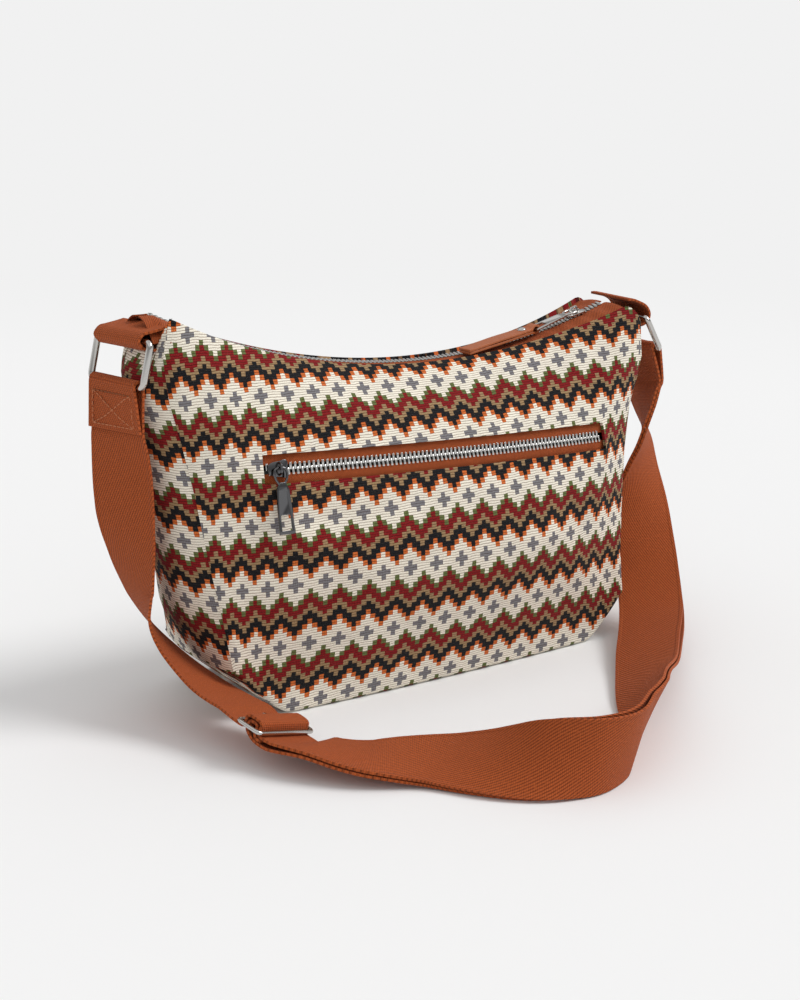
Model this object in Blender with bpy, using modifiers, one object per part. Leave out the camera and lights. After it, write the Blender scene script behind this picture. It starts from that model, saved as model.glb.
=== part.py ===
"""Cloth crossbody bag: a zipped main body with a zipped front pocket, hung from a webbing strap."""
import math

import bmesh
import bpy
from mathutils import Matrix, Vector

MM = 0.001
OBJECT_NAME = "crossbody_bag"

# Cloth body, lengths in millimetres
PANEL_T = 1.6
LINING_T = 0.8
TOP_RADIUS = 370.0
TOP_CENTRE_X = 15.0
TOP_LOW_Z = 169.5
TOP_CENTRE_Z = TOP_LOW_Z + TOP_RADIUS
BASE_FLAT_X = 100.0
BASE_END_X = 130.0
BASE_END_Z = 28.0
SEAM_GAP = 0.6
LEFT_WIDTHS = ((0, 150), (0.14, 154), (0.27, 152), (0.38, 147), (0.52, 142), (0.71, 137.5), (0.86, 133), (1, 130))
RIGHT_WIDTHS = ((0, 150), (0.14, 152), (0.27, 148), (0.38, 142), (0.52, 137), (0.71, 132), (0.86, 128.5), (1, 127))
LEFT_BULGE = ((0, 9), (0.3, 12), (0.6, 14), (0.86, 13), (1, 6))
RIGHT_BULGE = ((0, 4), (0.3, 7), (0.6, 8), (0.86, 8), (1, 5))
PANEL_COLUMNS = (-1, -0.92, -0.83, -0.74, -0.6, -0.4, -0.2, 0, 0.2, 0.4, 0.6, 0.74, 0.83, 0.92, 1)

# Zips
TEETH_IN = 0.5
TEETH_OUT = 2.7
TEETH_HALF_T = 1.1
TAPE_T = 0.7
TAPE_IN = 3.0
TOP_ZIP_RADIUS = TOP_RADIUS + 1.0
TOP_ZIP_X = (-145.0, 138.0)
POCKET_RADIUS = 1210.0
POCKET_MIDDLE = Vector((0.0, -45.4, 126.3))
POCKET_SLOPE = math.radians(2.6)
POCKET_TILT = math.radians(17.0)
POCKET_DEPTH = 2.5
POCKET_HALF_LENGTH = 110.0
POCKET_HALF_HEIGHT = 7.5
TOP_SLIDER_X = 119.0
POCKET_SLIDER_X = 8.0 - POCKET_HALF_LENGTH
BAIL_HEIGHT = 3.65
POCKET_BAIL_HEIGHT = 4.9
POCKET_PULL_LEAN = 0.28

# Pulls
PULL_T = 1.2
PULL_LENGTH = 33.0
PULL_HALF_W = 4.2
PULL_WINDOW = (24.0, 31.0, 2.9)
PULL_DIP = math.radians(13.4)
PULL_YAW = math.radians(5.0)
LEATHER_DIP = math.radians(8.3)
LEATHER_T = 1.3
LEATHER_LENGTH = 52.0
LEATHER_W = 9.5

# Rings, tabs, strap and adjuster
WEB_W = 37.0
RING_W = WEB_W + 5.0
RING_H = 22.5
RING_WIRE = 3.6
LEFT_RING = Vector((-164.0, 0.0, 197.0))
LEFT_RING_AXIS = Vector((0.22, -0.975, 0.0)).normalized()
LEFT_RING_LEAN = math.radians(15.0)
RIGHT_RING = Vector((156.5, 0.0, 182.0))
RIGHT_RING_AXIS = Vector((-0.05, -1.0, 0.0)).normalized()
RIGHT_RING_LEAN = math.radians(29.0)
WEB_T = 1.4
TAB_W = WEB_W - 1.0
LAYER_HALF = 1.1
SEWN_GAP = 0.6
ADJUSTER = Vector((-131.0, -86.0, 15.5))
ADJUSTER_W = Vector((-0.89, -0.34, 0.30)).normalized()
ADJUSTER_RUN = Vector((0.30, -0.90, -0.25)).normalized()
ADJUSTER_LENGTH = WEB_W + 8.0
ADJUSTER_HEIGHT = 17.0
ADJUSTER_BAR = 2.2

# Middle of the webbing, with the direction across it, hand to hand from the left ring to the right one
LEFT_RUN = (
    ((-172.0, -2.0, 152.0), (0.31, -0.94, 0.08)),
    ((-171.0, -3.0, 130.0), (0.45, -0.89, 0.08)),
    ((-169.0, -3.0, 107.0), (0.42, -0.90, 0.07)),
    ((-166.5, -2.0, 88.0), (0.25, -0.97, 0.04)),
    ((-163.5, -2.0, 69.0), (0.0, -1.0, 0.08)),
    ((-159.5, -8.0, 51.0), (-0.38, -0.89, 0.25)),
    ((-152.5, -22.0, 36.0), (-0.68, -0.63, 0.36)),
    ((-143.5, -43.0, 24.0), (-0.82, -0.48, 0.28)),
    ((-136.5, -65.0, 19.0), (-0.88, -0.38, 0.26)),
)
RIGHT_RUN = (
    ((-122.3, -110.0, 10.6), (-0.88, -0.40, 0.22)),
    ((-106.5, -129.0, 8.4), (-0.84, -0.53, 0.04)),
    ((-80.3, -147.0, 7.5), (-0.82, -0.52, -0.24)),
    ((-64.0, -172.0, 12.0), (-0.66, -0.50, -0.52)),
    ((-54.0, -187.0, 15.5), (-0.42, -0.47, -0.76)),
    ((-43.0, -199.0, 18.4), (-0.17, -0.25, -0.95)),
    ((-29.0, -206.5, 19.2), (-0.04, -0.02, -1.0)),
    ((-14.0, -206.0, 19.0), (-0.07, 0.14, -0.985)),
    ((-1.0, -200.5, 18.8), (-0.11, 0.19, -0.974)),
    ((13.0, -189.0, 18.6), (-0.14, 0.24, -0.96)),
    ((30.0, -175.0, 18.2), (-0.12, 0.45, -0.885)),
    ((53.0, -147.0, 14.8), (-0.10, 0.76, -0.64)),
    ((78.0, -120.0, 12.2), (-0.25, 0.86, -0.45)),
    ((101.0, -95.0, 12.2), (-0.55, 0.75, -0.36)),
    ((121.0, -74.0, 14.2), (-0.72, 0.63, -0.30)),
    ((138.0, -54.0, 19.5), (-0.77, 0.60, -0.20)),
    ((152.0, -33.0, 36.0), (-0.83, 0.54, -0.10)),
    ((161.0, -16.0, 62.0), (-0.96, 0.26, -0.03)),
    ((166.0, -10.0, 90.0), (-0.92, -0.38, 0.05)),
    ((168.0, -9.0, 110.0), (-0.70, -0.71, 0.10)),
    ((169.5, -6.0, 127.0), (-0.38, -0.92, 0.06)),
    ((170.0, -3.0, 142.0), (-0.08, -0.99, 0.0)),
)


def between(pairs, t):
    """Straight-line value between listed pairs."""
    for (t0, v0), (t1, v1) in zip(pairs, pairs[1:]):
        if t <= t1:
            return v0 + (v1 - v0) * (t - t0) / (t1 - t0)
    return pairs[-1][1]


def top_height(x):
    """Height of the sagging top edge, with the slumped right shoulder."""
    z = TOP_CENTRE_Z - math.sqrt(TOP_RADIUS ** 2 - (x - TOP_CENTRE_X) ** 2)
    return z - 0.075 * max(x - 136.0, 0.0) ** 2


def base_height(x):
    """Height of the base, which lifts like a boat towards its sewn ends."""
    over = max(abs(x) - BASE_FLAT_X, 0.0) / (BASE_END_X - BASE_FLAT_X)
    return BASE_END_Z * over ** 1.2


def base_lift(x):
    """Height of the base cloth's upper face over its lower one, with the seam gap."""
    slope = (base_height(x) - base_height(abs(x) - 0.5)) / 0.5
    return PANEL_T * math.sqrt(1 + slope * slope) + SEAM_GAP


def half_width(u, s):
    return between(LEFT_WIDTHS if u < 0 else RIGHT_WIDTHS, s)


def belly(u, s, top, foot, swell):
    """Distance of a panel from the middle plane, from its top edge to its foot."""
    bulge = swell * (29.0 - 34.0 * abs(u) ** 2.6)
    return top * (11.0 + 13.0 * u * u) * (1 - s) + foot * (46.0 - 4.0 * u * u) * s + bulge * math.sin(math.pi * s ** 0.8)


def panel_point(u, s, back=False):
    """A point of the outside cloth, u from left to right and s from the top edge down."""
    x = u * half_width(u, s)
    z = top_height(x) * (1 - s) + s * base_height(x)
    y = belly(u, s, 1.0, 0.92, 0.88) if back else -belly(u, s, 1.0, 1.0, 1.0)
    return Vector((x, y, z))


def zip_frame(x):
    """Middle of the pocket zip at x, with its run, its upward and its outward direction."""
    along = Vector((math.cos(POCKET_SLOPE), 0, -math.sin(POCKET_SLOPE)))
    axis = Vector((math.sin(POCKET_SLOPE), 0, math.cos(POCKET_SLOPE)))
    inward = Vector((0, 1, 0))
    angle = math.asin(x / POCKET_RADIUS / along.x)
    radial = along * math.sin(angle) - inward * math.cos(angle)
    centre = POCKET_MIDDLE + inward * POCKET_RADIUS
    run = along * math.cos(angle) + inward * math.sin(angle)
    up = axis * math.cos(POCKET_TILT) - radial * math.sin(POCKET_TILT)
    out = axis * math.sin(POCKET_TILT) + radial * math.cos(POCKET_TILT)
    return centre + radial * POCKET_RADIUS, run, up, out


def top_frame(x, radius=TOP_ZIP_RADIUS):
    """Middle of the top zip at x, with its run, its backward and its upward direction."""
    angle = math.asin((x - TOP_CENTRE_X) / radius)
    up = Vector((-math.sin(angle), 0, math.cos(angle)))
    run = Vector((math.cos(angle), 0, math.sin(angle)))
    return Vector((TOP_CENTRE_X, 0, TOP_CENTRE_Z)) - up * radius, run, Vector((0, 1, 0)), up


def sheet(grid, thickness, skip=(), ring=False, close_last=False, flip=False):
    """A sheet of even thickness on a grid of outside points, given as bmesh."""
    rows = len(grid)
    cols = len(grid[0])
    bm = bmesh.new()

    def normal(i, j):
        if close_last and i == rows - 1:
            return Vector((0, 0, -1))
        up = grid[max(i - 1, 0)][j]
        down = grid[min(i + 1, rows - 1)][j]
        left = grid[i][(j - 1) % cols] if ring else grid[i][max(j - 1, 0)]
        right = grid[i][(j + 1) % cols] if ring else grid[i][min(j + 1, cols - 1)]
        n = (right - left).cross(up - down).normalized()
        return -n if flip else n

    cells = []
    for i in range(rows - 1):
        for j in range(cols if ring else cols - 1):
            if (i, j) not in skip:
                cells.append(((i, j), (i + 1, j), (i + 1, (j + 1) % cols), (i, (j + 1) % cols)))
    used = sorted({key for cell in cells for key in cell})
    outer = {}
    inner = {}
    for i, j in used:
        outer[i, j] = bm.verts.new(grid[i][j])
        inner[i, j] = bm.verts.new(grid[i][j] - normal(i, j) * thickness)
    edges = {}
    for cell in cells:
        a, b, c, d = cell
        for tri in ((a, b, c), (a, c, d)):
            bm.faces.new([outer[k] for k in tri])
            bm.faces.new([inner[k] for k in reversed(tri)])
        for a, b in zip(cell, cell[1:] + cell[:1]):
            edges.setdefault(frozenset((a, b)), []).append((a, b))
    for pairs in edges.values():
        if len(pairs) == 1:
            a, b = pairs[0]
            if close_last and a[0] == rows - 1 and b[0] == rows - 1:
                continue
            bm.faces.new((outer[b], outer[a], inner[a], inner[b]))
    bmesh.ops.remove_doubles(bm, verts=bm.verts[:], dist=0.0005)
    bmesh.ops.recalc_face_normals(bm, faces=bm.faces[:])
    return bm


def bars(stations):
    """A closed bar through sections, each a list of points in the same order."""
    bm = bmesh.new()
    loops = []
    for section in stations:
        loops.append([bm.verts.new(p) for p in section])
    for first, second in zip(loops, loops[1:]):
        for k in range(len(first)):
            n = (k + 1) % len(first)
            bm.faces.new((first[k], first[n], second[n], second[k]))
    bm.faces.new(list(reversed(loops[0])))
    bm.faces.new(loops[-1])
    bmesh.ops.recalc_face_normals(bm, faces=bm.faces[:])
    return bm


def ribbon(stations, thickness, turned=-1):
    """A band through (middle, across, outward, width) stations, both faces split along the same diagonals.

    From station number turned on the band runs back over itself, so its diagonals are the other ones.
    """
    bm = bmesh.new()
    loops = []
    for c, w, n, width in stations:
        h = w * width / 2
        t = n * thickness / 2
        loops.append([bm.verts.new(p) for p in (c - h - t, c + h - t, c + h + t, c - h + t)])
    for k, (f, g) in enumerate(zip(loops, loops[1:])):
        faces = [(f[1], f[2], g[2], g[1]), (f[3], f[0], g[0], g[3])]
        if 0 <= turned <= k:
            faces += [(f[0], f[1], g[0]), (f[1], g[1], g[0]), (f[2], f[3], g[3]), (f[2], g[3], g[2])]
        else:
            faces += [(f[0], f[1], g[1]), (f[0], g[1], g[0]), (f[2], f[3], g[2]), (f[3], g[3], g[2])]
        for face in faces:
            bm.faces.new(face)
    bm.faces.new(list(reversed(loops[0])))
    bm.faces.new(loops[-1])
    bmesh.ops.recalc_face_normals(bm, faces=bm.faces[:])
    return bm


def bricks(boxes):
    """One closed solid out of boxes that share faces, as (x0, x1, y0, y1, z0, z1)."""
    xs = sorted({v for b in boxes for v in b[0:2]})
    ys = sorted({v for b in boxes for v in b[2:4]})
    zs = sorted({v for b in boxes for v in b[4:6]})

    def filled(i, j, k):
        if not (0 <= i < len(xs) - 1 and 0 <= j < len(ys) - 1 and 0 <= k < len(zs) - 1):
            return False
        x = (xs[i] + xs[i + 1]) / 2
        y = (ys[j] + ys[j + 1]) / 2
        z = (zs[k] + zs[k + 1]) / 2
        return any(b[0] < x < b[1] and b[2] < y < b[3] and b[4] < z < b[5] for b in boxes)

    bm = bmesh.new()
    verts = {}

    def vert(i, j, k):
        if (i, j, k) not in verts:
            verts[i, j, k] = bm.verts.new((xs[i], ys[j], zs[k]))
        return verts[i, j, k]

    sides = (((1, 0, 0), (1, 0, 0), (1, 1, 0), (1, 1, 1), (1, 0, 1)),
             ((-1, 0, 0), (0, 0, 0), (0, 0, 1), (0, 1, 1), (0, 1, 0)),
             ((0, 1, 0), (0, 1, 0), (0, 1, 1), (1, 1, 1), (1, 1, 0)),
             ((0, -1, 0), (0, 0, 0), (1, 0, 0), (1, 0, 1), (0, 0, 1)),
             ((0, 0, 1), (0, 0, 1), (1, 0, 1), (1, 1, 1), (0, 1, 1)),
             ((0, 0, -1), (0, 0, 0), (0, 1, 0), (1, 1, 0), (1, 0, 0)))
    for i in range(len(xs) - 1):
        for j in range(len(ys) - 1):
            for k in range(len(zs) - 1):
                if not filled(i, j, k):
                    continue
                for step, *corners in sides:
                    if not filled(i + step[0], j + step[1], k + step[2]):
                        bm.faces.new([vert(i + a, j + b, k + c) for a, b, c in corners])
    bmesh.ops.dissolve_limit(bm, angle_limit=0.01, verts=bm.verts[:], edges=bm.edges[:])
    bmesh.ops.recalc_face_normals(bm, faces=bm.faces[:])
    return bm


def placed(bm, x_axis, y_axis, z_axis, at):
    """The same bmesh, turned from its own frame to the bag's."""
    turn = Matrix((x_axis, y_axis, z_axis)).transposed().to_4x4()
    bmesh.ops.transform(bm, matrix=Matrix.Translation(at) @ turn, verts=bm.verts[:])
    return bm


def material(name, colour, metallic=0.0, roughness=0.8):
    mat = bpy.data.materials.new(name)
    mat.use_nodes = True
    shader = mat.node_tree.nodes["Principled BSDF"]
    shader.inputs["Base Color"].default_value = colour
    shader.inputs["Metallic"].default_value = metallic
    shader.inputs["Roughness"].default_value = roughness
    return mat


def piece(name, bm, mat, origin=(0, 0, 0)):
    """Adds one named piece with its origin at a point given in millimetres."""
    origin = Vector(origin)
    bmesh.ops.translate(bm, vec=-origin, verts=bm.verts[:])
    bmesh.ops.scale(bm, vec=(MM, MM, MM), verts=bm.verts[:])
    mesh = bpy.data.meshes.new(name)
    bm.to_mesh(mesh)
    bm.free()
    mesh.materials.append(mat)
    obj = bpy.data.objects.new(name, mesh)
    obj.location = origin * MM
    bpy.data.collections[OBJECT_NAME].objects.link(obj)
    return obj


def soften(obj, width, segments=1):
    bevel = obj.modifiers.new("Bevel", "BEVEL")
    bevel.width = width * MM
    bevel.segments = segments
    bevel.limit_method = "ANGLE"
    bevel.angle_limit = math.radians(50)


def front_panel(mat):
    """Front and base in one cloth, with the pocket opening cut out."""
    rows = [[], [], [], [], [], [], [], [], [], []]
    for u in PANEL_COLUMNS:
        reach = max(-POCKET_HALF_LENGTH, min(POCKET_HALF_LENGTH, u * 148.6))
        c, run, up, out = zip_frame(reach)
        edge_s = []
        for side in (1, -1):
            lip = c + up * POCKET_HALF_HEIGHT * side
            x = u * half_width(u, 0.3)
            edge_s.append(1 - (lip.z - 0.045 * (x - reach)) / (top_height(x) - base_height(x) * 0.3))
        s_list = [0, edge_s[0] * 0.5, edge_s[0], edge_s[1]]
        s_list += [edge_s[1] + (0.965 - edge_s[1]) * k / 4 for k in (1, 2, 3, 4)]
        for i, s in enumerate(s_list):
            p = panel_point(u, s)
            if i in (2, 3) and abs(u) < 0.75:
                p = c + up * POCKET_HALF_HEIGHT * (1 if i == 2 else -1)
            rows[i].append(p)
        x = u * half_width(u, 1)
        x_mid = x * (1 + 0.05 * abs(u) ** 6)
        depth = 46.0 - 4.0 * u * u
        rows[8].append(Vector((x, -depth + 5, base_height(x))))
        rows[9].append(Vector((x_mid, 0, base_height(x))))
    rows.append([Vector((u * half_width(u, 1), 0.92 * (46.0 - 4.0 * u * u), base_height(u * half_width(u, 1))))
                 for u in PANEL_COLUMNS])
    first = PANEL_COLUMNS.index(-0.74)
    last = PANEL_COLUMNS.index(0.74)
    skip = {(2, j) for j in range(first, last)}
    return piece("front_panel", sheet(rows, PANEL_T, skip), mat)


def back_panel(mat):
    columns = (-1, -0.88, -0.74, -0.5, -0.25, 0, 0.25, 0.5, 0.74, 0.88, 1)
    rows = []
    for s in (0, 0.15, 0.32, 0.5, 0.68, 0.85, 1):
        row = [panel_point(u, s, back=True) for u in columns]
        if s == 1:
            row = [p + Vector((0, 0, base_lift(p.x))) for p in row]
        rows.append(row)
    return piece("back_panel", sheet(rows, PANEL_T, flip=True), mat)


def gusset(name, side, bulge, dip, mat):
    """End strip between the two panels, its foot on the lifted end of the base."""
    rows = []
    for s in (0, 0.12, 0.28, 0.46, 0.64, 0.82, 0.93, 1):
        inset = Vector((0, PANEL_T + SEAM_GAP + 0.5, 0))
        front = panel_point(side, s) + inset
        back = panel_point(side, s, back=True) - inset
        if s == 1:
            front.y += 4.5
        row = []
        for w in (0, 0.06, 0.22, 0.5, 0.78, 0.94, 1):
            arch = math.sin(math.pi * w)
            p = front.lerp(back, w)
            p.x += side * between(bulge, s) * max(arch, 0) ** 0.8
            p.z -= dip * min(1.0, 17 * w, 17 * (1 - w)) * max(0.0, 1 - s / 0.35)
            if s == 1:
                p.z += base_lift(p.x)
            row.append(p)
        rows.append(row)
    return piece(name, sheet(rows, PANEL_T, flip=side < 0), mat)


def lining(mat):
    """Inner bag, closed below and open to the zip."""
    columns = (-0.95, -0.7, -0.35, 0, 0.35, 0.7, 0.95)
    rows = []
    for s in (0.12, 0.3, 0.55, 0.8, 0.93, 1):
        low = max(s - 0.6, 0) / 0.4
        ring = []
        for u in columns:
            p = panel_point(u, s)
            ring.append(Vector((p.x * 0.98, min(p.y + 12.5, -3.5), p.z + 4 * low)))
        for side, sign in ((1, 1), (1, -1)):
            p = panel_point(side, s)
            ring.append(Vector((p.x * 0.985 - 2.5, -10 * sign, p.z + 4 * low)))
        for u in reversed(columns):
            p = panel_point(u, s, back=True)
            ring.append(Vector((p.x * 0.98, max(p.y - 7.0, 3.5), p.z + 4 * low)))
        for sign in (1, -1):
            p = panel_point(-1, s)
            ring.append(Vector((p.x * 0.985 + 2.5, 10 * sign, p.z + 4 * low)))
        if s == 1:
            ends = (ring[7].x - 3, ring[16].x + 3)
            ring = [Vector((max(ends[1], min(ends[0], p.x * 0.97)), 0, 0)) for p in ring]
            for k in (6, 7, 8, 9):
                ring[k] = Vector((ends[0], 0, 0))
            for k in (15, 16, 17, 0):
                ring[k] = Vector((ends[1], 0, 0))
            for k in range(7):
                ring[15 - k] = Vector(ring[k])
            for p in ring:
                p.z = base_height(p.x) + 4
        rows.append(ring)
    return piece("lining", sheet(rows, LINING_T, ring=True, close_last=True), mat)


def pocket_pouch(mat):
    """Folded pocket bag that hangs behind the front panel from the zip tapes."""
    xs = [-104 + 26 * k for k in range(9)]
    rows = []
    for a, depth in ((-9.5, 5.6), (-34, 4.6), (-58, 4.6), (-66, 6.1), (-58, 7.8), (-34, 8.2), (-9.5, 9.2), (9, 8.6)):
        row = []
        for x in xs:
            c, run, up, out = zip_frame(x)
            p = c + up * a
            on_panel = panel_point(x / 143.0, 1 - p.z / top_height(x)).y
            p.y = (max(p.y, on_panel) if a > -20 else on_panel) + depth
            row.append(p)
        rows.append(row)
    return piece("pocket_pouch", sheet(rows, LINING_T * 0.75), mat)


def swept(frame, xs, section):
    """A bar along a zip line with a section given across and outward."""
    stations = []
    for x in xs:
        c, run, across, out = frame(x)
        stations.append([c + across * a + out * b for a, b in section])
    return bars(stations)


def top_zip(cloth, metal):
    """Two tapes and two rows of teeth along the top edge."""
    low, high = TOP_ZIP_X
    steps = 15
    xs = [low + (high - low) * k / steps for k in range(steps + 1)]
    for name, sign in (("top_tape_front", -1), ("top_tape_back", 1)):
        stations = []
        path = [(x, top_frame(x)[0].z) for x in xs]
        path = [(-157.0, 198.8), (-151.5, 202.6)] + path + [(140.5, top_frame(140.0)[0].z)]
        for x, z in path:
            edge = TAPE_IN
            outer = abs(panel_point(max(-1, min(1, x / 150.0)), 0).y) - 2.4
            if x < -150:
                outer = 17.5
            if x > 132:
                outer = 14.0
            stations.append([Vector((x, sign * edge, z - TAPE_T / 2)), Vector((x, sign * outer, z - 3.2 - TAPE_T / 2)),
                             Vector((x, sign * outer, z - 3.2 + TAPE_T / 2)), Vector((x, sign * edge, z + TAPE_T / 2))])
        piece(name, bars(stations), cloth)
    for name, sign in (("top_teeth_front", -1), ("top_teeth_back", 1)):
        t = TEETH_HALF_T
        section = [(sign * TEETH_IN, -t), (sign * TEETH_OUT, -t), (sign * TEETH_OUT, t), (sign * TEETH_IN, t)]
        piece(name, swept(top_frame, xs, section), metal)


def inset_frame(x):
    c, run, up, out = zip_frame(x)
    return c - out * POCKET_DEPTH, run, up, out


def pocket_zip(cloth, metal):
    """Two tapes and two rows of teeth behind the pocket opening."""
    half = POCKET_HALF_LENGTH + 1.2
    steps = 8
    xs = [-half + 2 * half * k / steps for k in range(steps + 1)]
    t = TAPE_T / 2
    for name, sign in (("pocket_tape_upper", 1), ("pocket_tape_lower", -1)):
        section = [(sign * TAPE_IN, -t), (sign * 6.5, -t - 0.3), (sign * 9.0, -t - 1.3),
                   (sign * 9.0, t - 1.3), (sign * 6.5, t - 0.3), (sign * TAPE_IN, t)]
        piece(name, swept(inset_frame, xs, section), cloth)
    inner = [x * (POCKET_HALF_LENGTH - 1.5) / half for x in xs]
    for name, sign in (("pocket_teeth_upper", 1), ("pocket_teeth_lower", -1)):
        h = TEETH_HALF_T
        section = [(sign * TEETH_IN, -h), (sign * TEETH_OUT, -h), (sign * TEETH_OUT, h), (sign * TEETH_IN, h)]
        piece(name, swept(inset_frame, inner, section), metal)


def slider_boxes(across, height):
    """Slider with its loop; the loop stands along the zip, or across it for a hanging pull."""
    h = height + 1.25
    boxes = [(-5.5, 5.5, -4, 4, 1.4, 2.4), (-5.5, 5.5, -4, 4, -2.4, -1.4), (2.6, 4.4, -0.2, 0.2, -1.4, 1.4)]
    legs = [(-3.0, -1.8, -1, 1, 2.4, h), (1.8, 3.0, -1, 1, 2.4, h), (-3.0, 3.0, -1, 1, h, h + 1)]
    if across:
        legs = [(b[2], b[3], b[0], b[1], b[4], b[5]) for b in legs]
    return boxes + legs


def pull_boxes():
    """Metal pull: an end bar and two cheeks for the slider loop, a neck, and a plate with a window."""
    t = PULL_T / 2
    w0, w1, wq = PULL_WINDOW
    h = PULL_HALF_W
    return [(-0.6, 0.6, -3.3, 3.3, -t, t), (0.6, 5.0, 2.0, 3.3, -t, t), (0.6, 5.0, -3.3, -2.0, -t, t),
            (5.0, 9.0, -2.4, 2.4, -t, t), (5.0, 6.2, -3.3, 3.3, -t, t), (9.0, w0, -h, h, -t, t),
            (w0, w1, -h, -wq, -t, t), (w0, w1, wq, h, -t, t), (w1, PULL_LENGTH, -h, h, -t, t)]


def top_pull_frame():
    """Pivot of the top pull, with its pointing, its sideways and its upward direction."""
    c, run, back, up = top_frame(TOP_SLIDER_X)
    pivot = c + up * BAIL_HEIGHT
    point = Vector((-math.cos(PULL_DIP) * math.cos(PULL_YAW), -math.cos(PULL_DIP) * math.sin(PULL_YAW),
                    -math.sin(PULL_DIP)))
    side = Vector((-math.sin(PULL_YAW), math.cos(PULL_YAW), 0)) * -1
    return pivot, point, side, point.cross(side)


def top_slider(metal):
    c, run, back, up = top_frame(TOP_SLIDER_X)
    bm = placed(bricks(slider_boxes(False, BAIL_HEIGHT)), run, back, up, c)
    obj = piece("top_slider", bm, metal, (TOP_CENTRE_X, 0, TOP_CENTRE_Z))
    soften(obj, 0.18)
    return obj


def top_pull(metal, leather):
    """Plate on the slider, then a folded leather strip with a rivet."""
    pivot, point, side, up = top_pull_frame()
    plate = piece("top_pull_plate", placed(bricks(pull_boxes()), point, side, up, pivot), metal, pivot)
    soften(plate, 0.18)
    bar = pivot + point * (PULL_LENGTH - 1)
    ahead = Vector((-math.cos(LEATHER_DIP) * math.cos(PULL_YAW), -math.cos(LEATHER_DIP) * math.sin(PULL_YAW),
                    -math.sin(LEATHER_DIP)))
    above = ahead.cross(side)
    reach = LEATHER_LENGTH
    gap = LEATHER_T / 2 + 0.15
    narrow = 5.2
    path = [(reach, gap, LEATHER_W), (4.5, gap, LEATHER_W), (3.2, gap + 0.7, narrow), (1.3, 1.95, narrow),
            (-0.4, 1.95, narrow), (-1.6, 1.1, narrow), (-1.95, 0.0, narrow), (-1.6, -1.1, narrow),
            (-0.4, -1.95, narrow), (1.3, -1.95, narrow), (3.2, -gap - 0.7, narrow), (4.5, -gap, LEATHER_W),
            (reach, -gap, LEATHER_W)]
    stations = []
    for k, (p, r, width) in enumerate(path):
        a = path[max(k - 1, 0)]
        b = path[min(k + 1, len(path) - 1)]
        run = (ahead * (b[0] - a[0]) + above * (b[1] - a[1])).normalized()
        stations.append((bar + ahead * p + above * r, side, run.cross(side), width))
    piece("top_pull_leather", ribbon(stations, LEATHER_T), leather, bar)
    head = bar + ahead * 9 + above * (gap + LEATHER_T / 2 + 0.25)
    sections = []
    for h, r in ((0, 2.5), (0.6, 2.4), (1.1, 1.6)):
        ring = [head + above * h + (ahead * math.cos(a) + side * math.sin(a)) * r
                for a in [math.tau * k / 10 for k in range(10)]]
        sections.append(ring)
    piece("top_pull_rivet", bars(sections), metal, bar)


def pocket_slider(metal):
    c, run, up, out = inset_frame(POCKET_SLIDER_X)
    bm = placed(bricks(slider_boxes(True, POCKET_BAIL_HEIGHT)), run, up, out, c)
    axis_at = POCKET_MIDDLE + Vector((0, POCKET_RADIUS, 0))
    obj = piece("pocket_slider", bm, metal, axis_at)
    soften(obj, 0.18)
    return obj


def pocket_pull(metal):
    """Plate that hangs from the pocket slider, just clear of the cloth."""
    c, run, up, out = inset_frame(POCKET_SLIDER_X)
    pivot = c + out * POCKET_BAIL_HEIGHT
    point = Vector((run.z, 0, -run.x)).normalized()
    point = (point + Vector((0, -POCKET_PULL_LEAN, 0))).normalized()
    side = run - point * run.dot(point)
    side.normalize()
    obj = piece("pocket_pull", placed(bricks(pull_boxes()), point, side, point.cross(side), pivot), metal, pivot)
    soften(obj, 0.18)
    return obj


def ring_frame(top, axis, lean, side):
    """Directions of a ring: along its bars, outwards from the bag, and down its own plane."""
    outward = Vector((axis.y, -axis.x, 0)) if side < 0 else Vector((-axis.y, axis.x, 0))
    down = outward * math.sin(lean) - Vector((0, 0, math.cos(lean)))
    return outward, down


def ring(name, top, axis, lean, side, metal):
    """Rectangular wire ring whose upper bar is its pivot."""
    outward, down = ring_frame(top, axis, lean, side)
    r = RING_WIRE / 2
    corner = 3.2
    path = []
    for sa, sd, start in ((1, 1, 0), (-1, 1, 90), (-1, -1, 180), (1, -1, 270)):
        for k in range(3):
            a = math.radians(start + 45 * k)
            ca = sa * (RING_W / 2 - corner)
            cd = RING_H / 2 + sd * (RING_H / 2 - corner)
            path.append((ca + corner * math.cos(a), cd + corner * math.sin(a), a))
    bm = bmesh.new()
    normal = axis.cross(down)
    loops = []
    for a, d, turn in path:
        c = top + axis * a + down * d
        radial = axis * math.cos(turn) + down * math.sin(turn)
        loops.append([bm.verts.new(c + (radial * math.cos(t) + normal * math.sin(t)) * r)
                      for t in [math.tau * k / 8 for k in range(8)]])
    for i in range(len(loops)):
        first = loops[i]
        second = loops[(i + 1) % len(loops)]
        for k in range(8):
            n = (k + 1) % 8
            bm.faces.new((first[k], first[n], second[n], second[k]))
    bmesh.ops.recalc_face_normals(bm, faces=bm.faces[:])
    return piece(name, bm, metal, top)


def tab(name, axis, path, mat):
    """Webbing folded round a ring's upper bar, both ends sewn into the bag."""
    stations = []
    for k, (x, z) in enumerate(path):
        a = path[max(k - 1, 0)]
        b = path[min(k + 1, len(path) - 1)]
        run = Vector((b[0] - a[0], 0, b[1] - a[1])).normalized()
        stations.append((Vector((x, 0, z)), axis, run.cross(axis).normalized(), TAB_W))
    return piece(name, ribbon(stations, WEB_T), mat)


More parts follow.
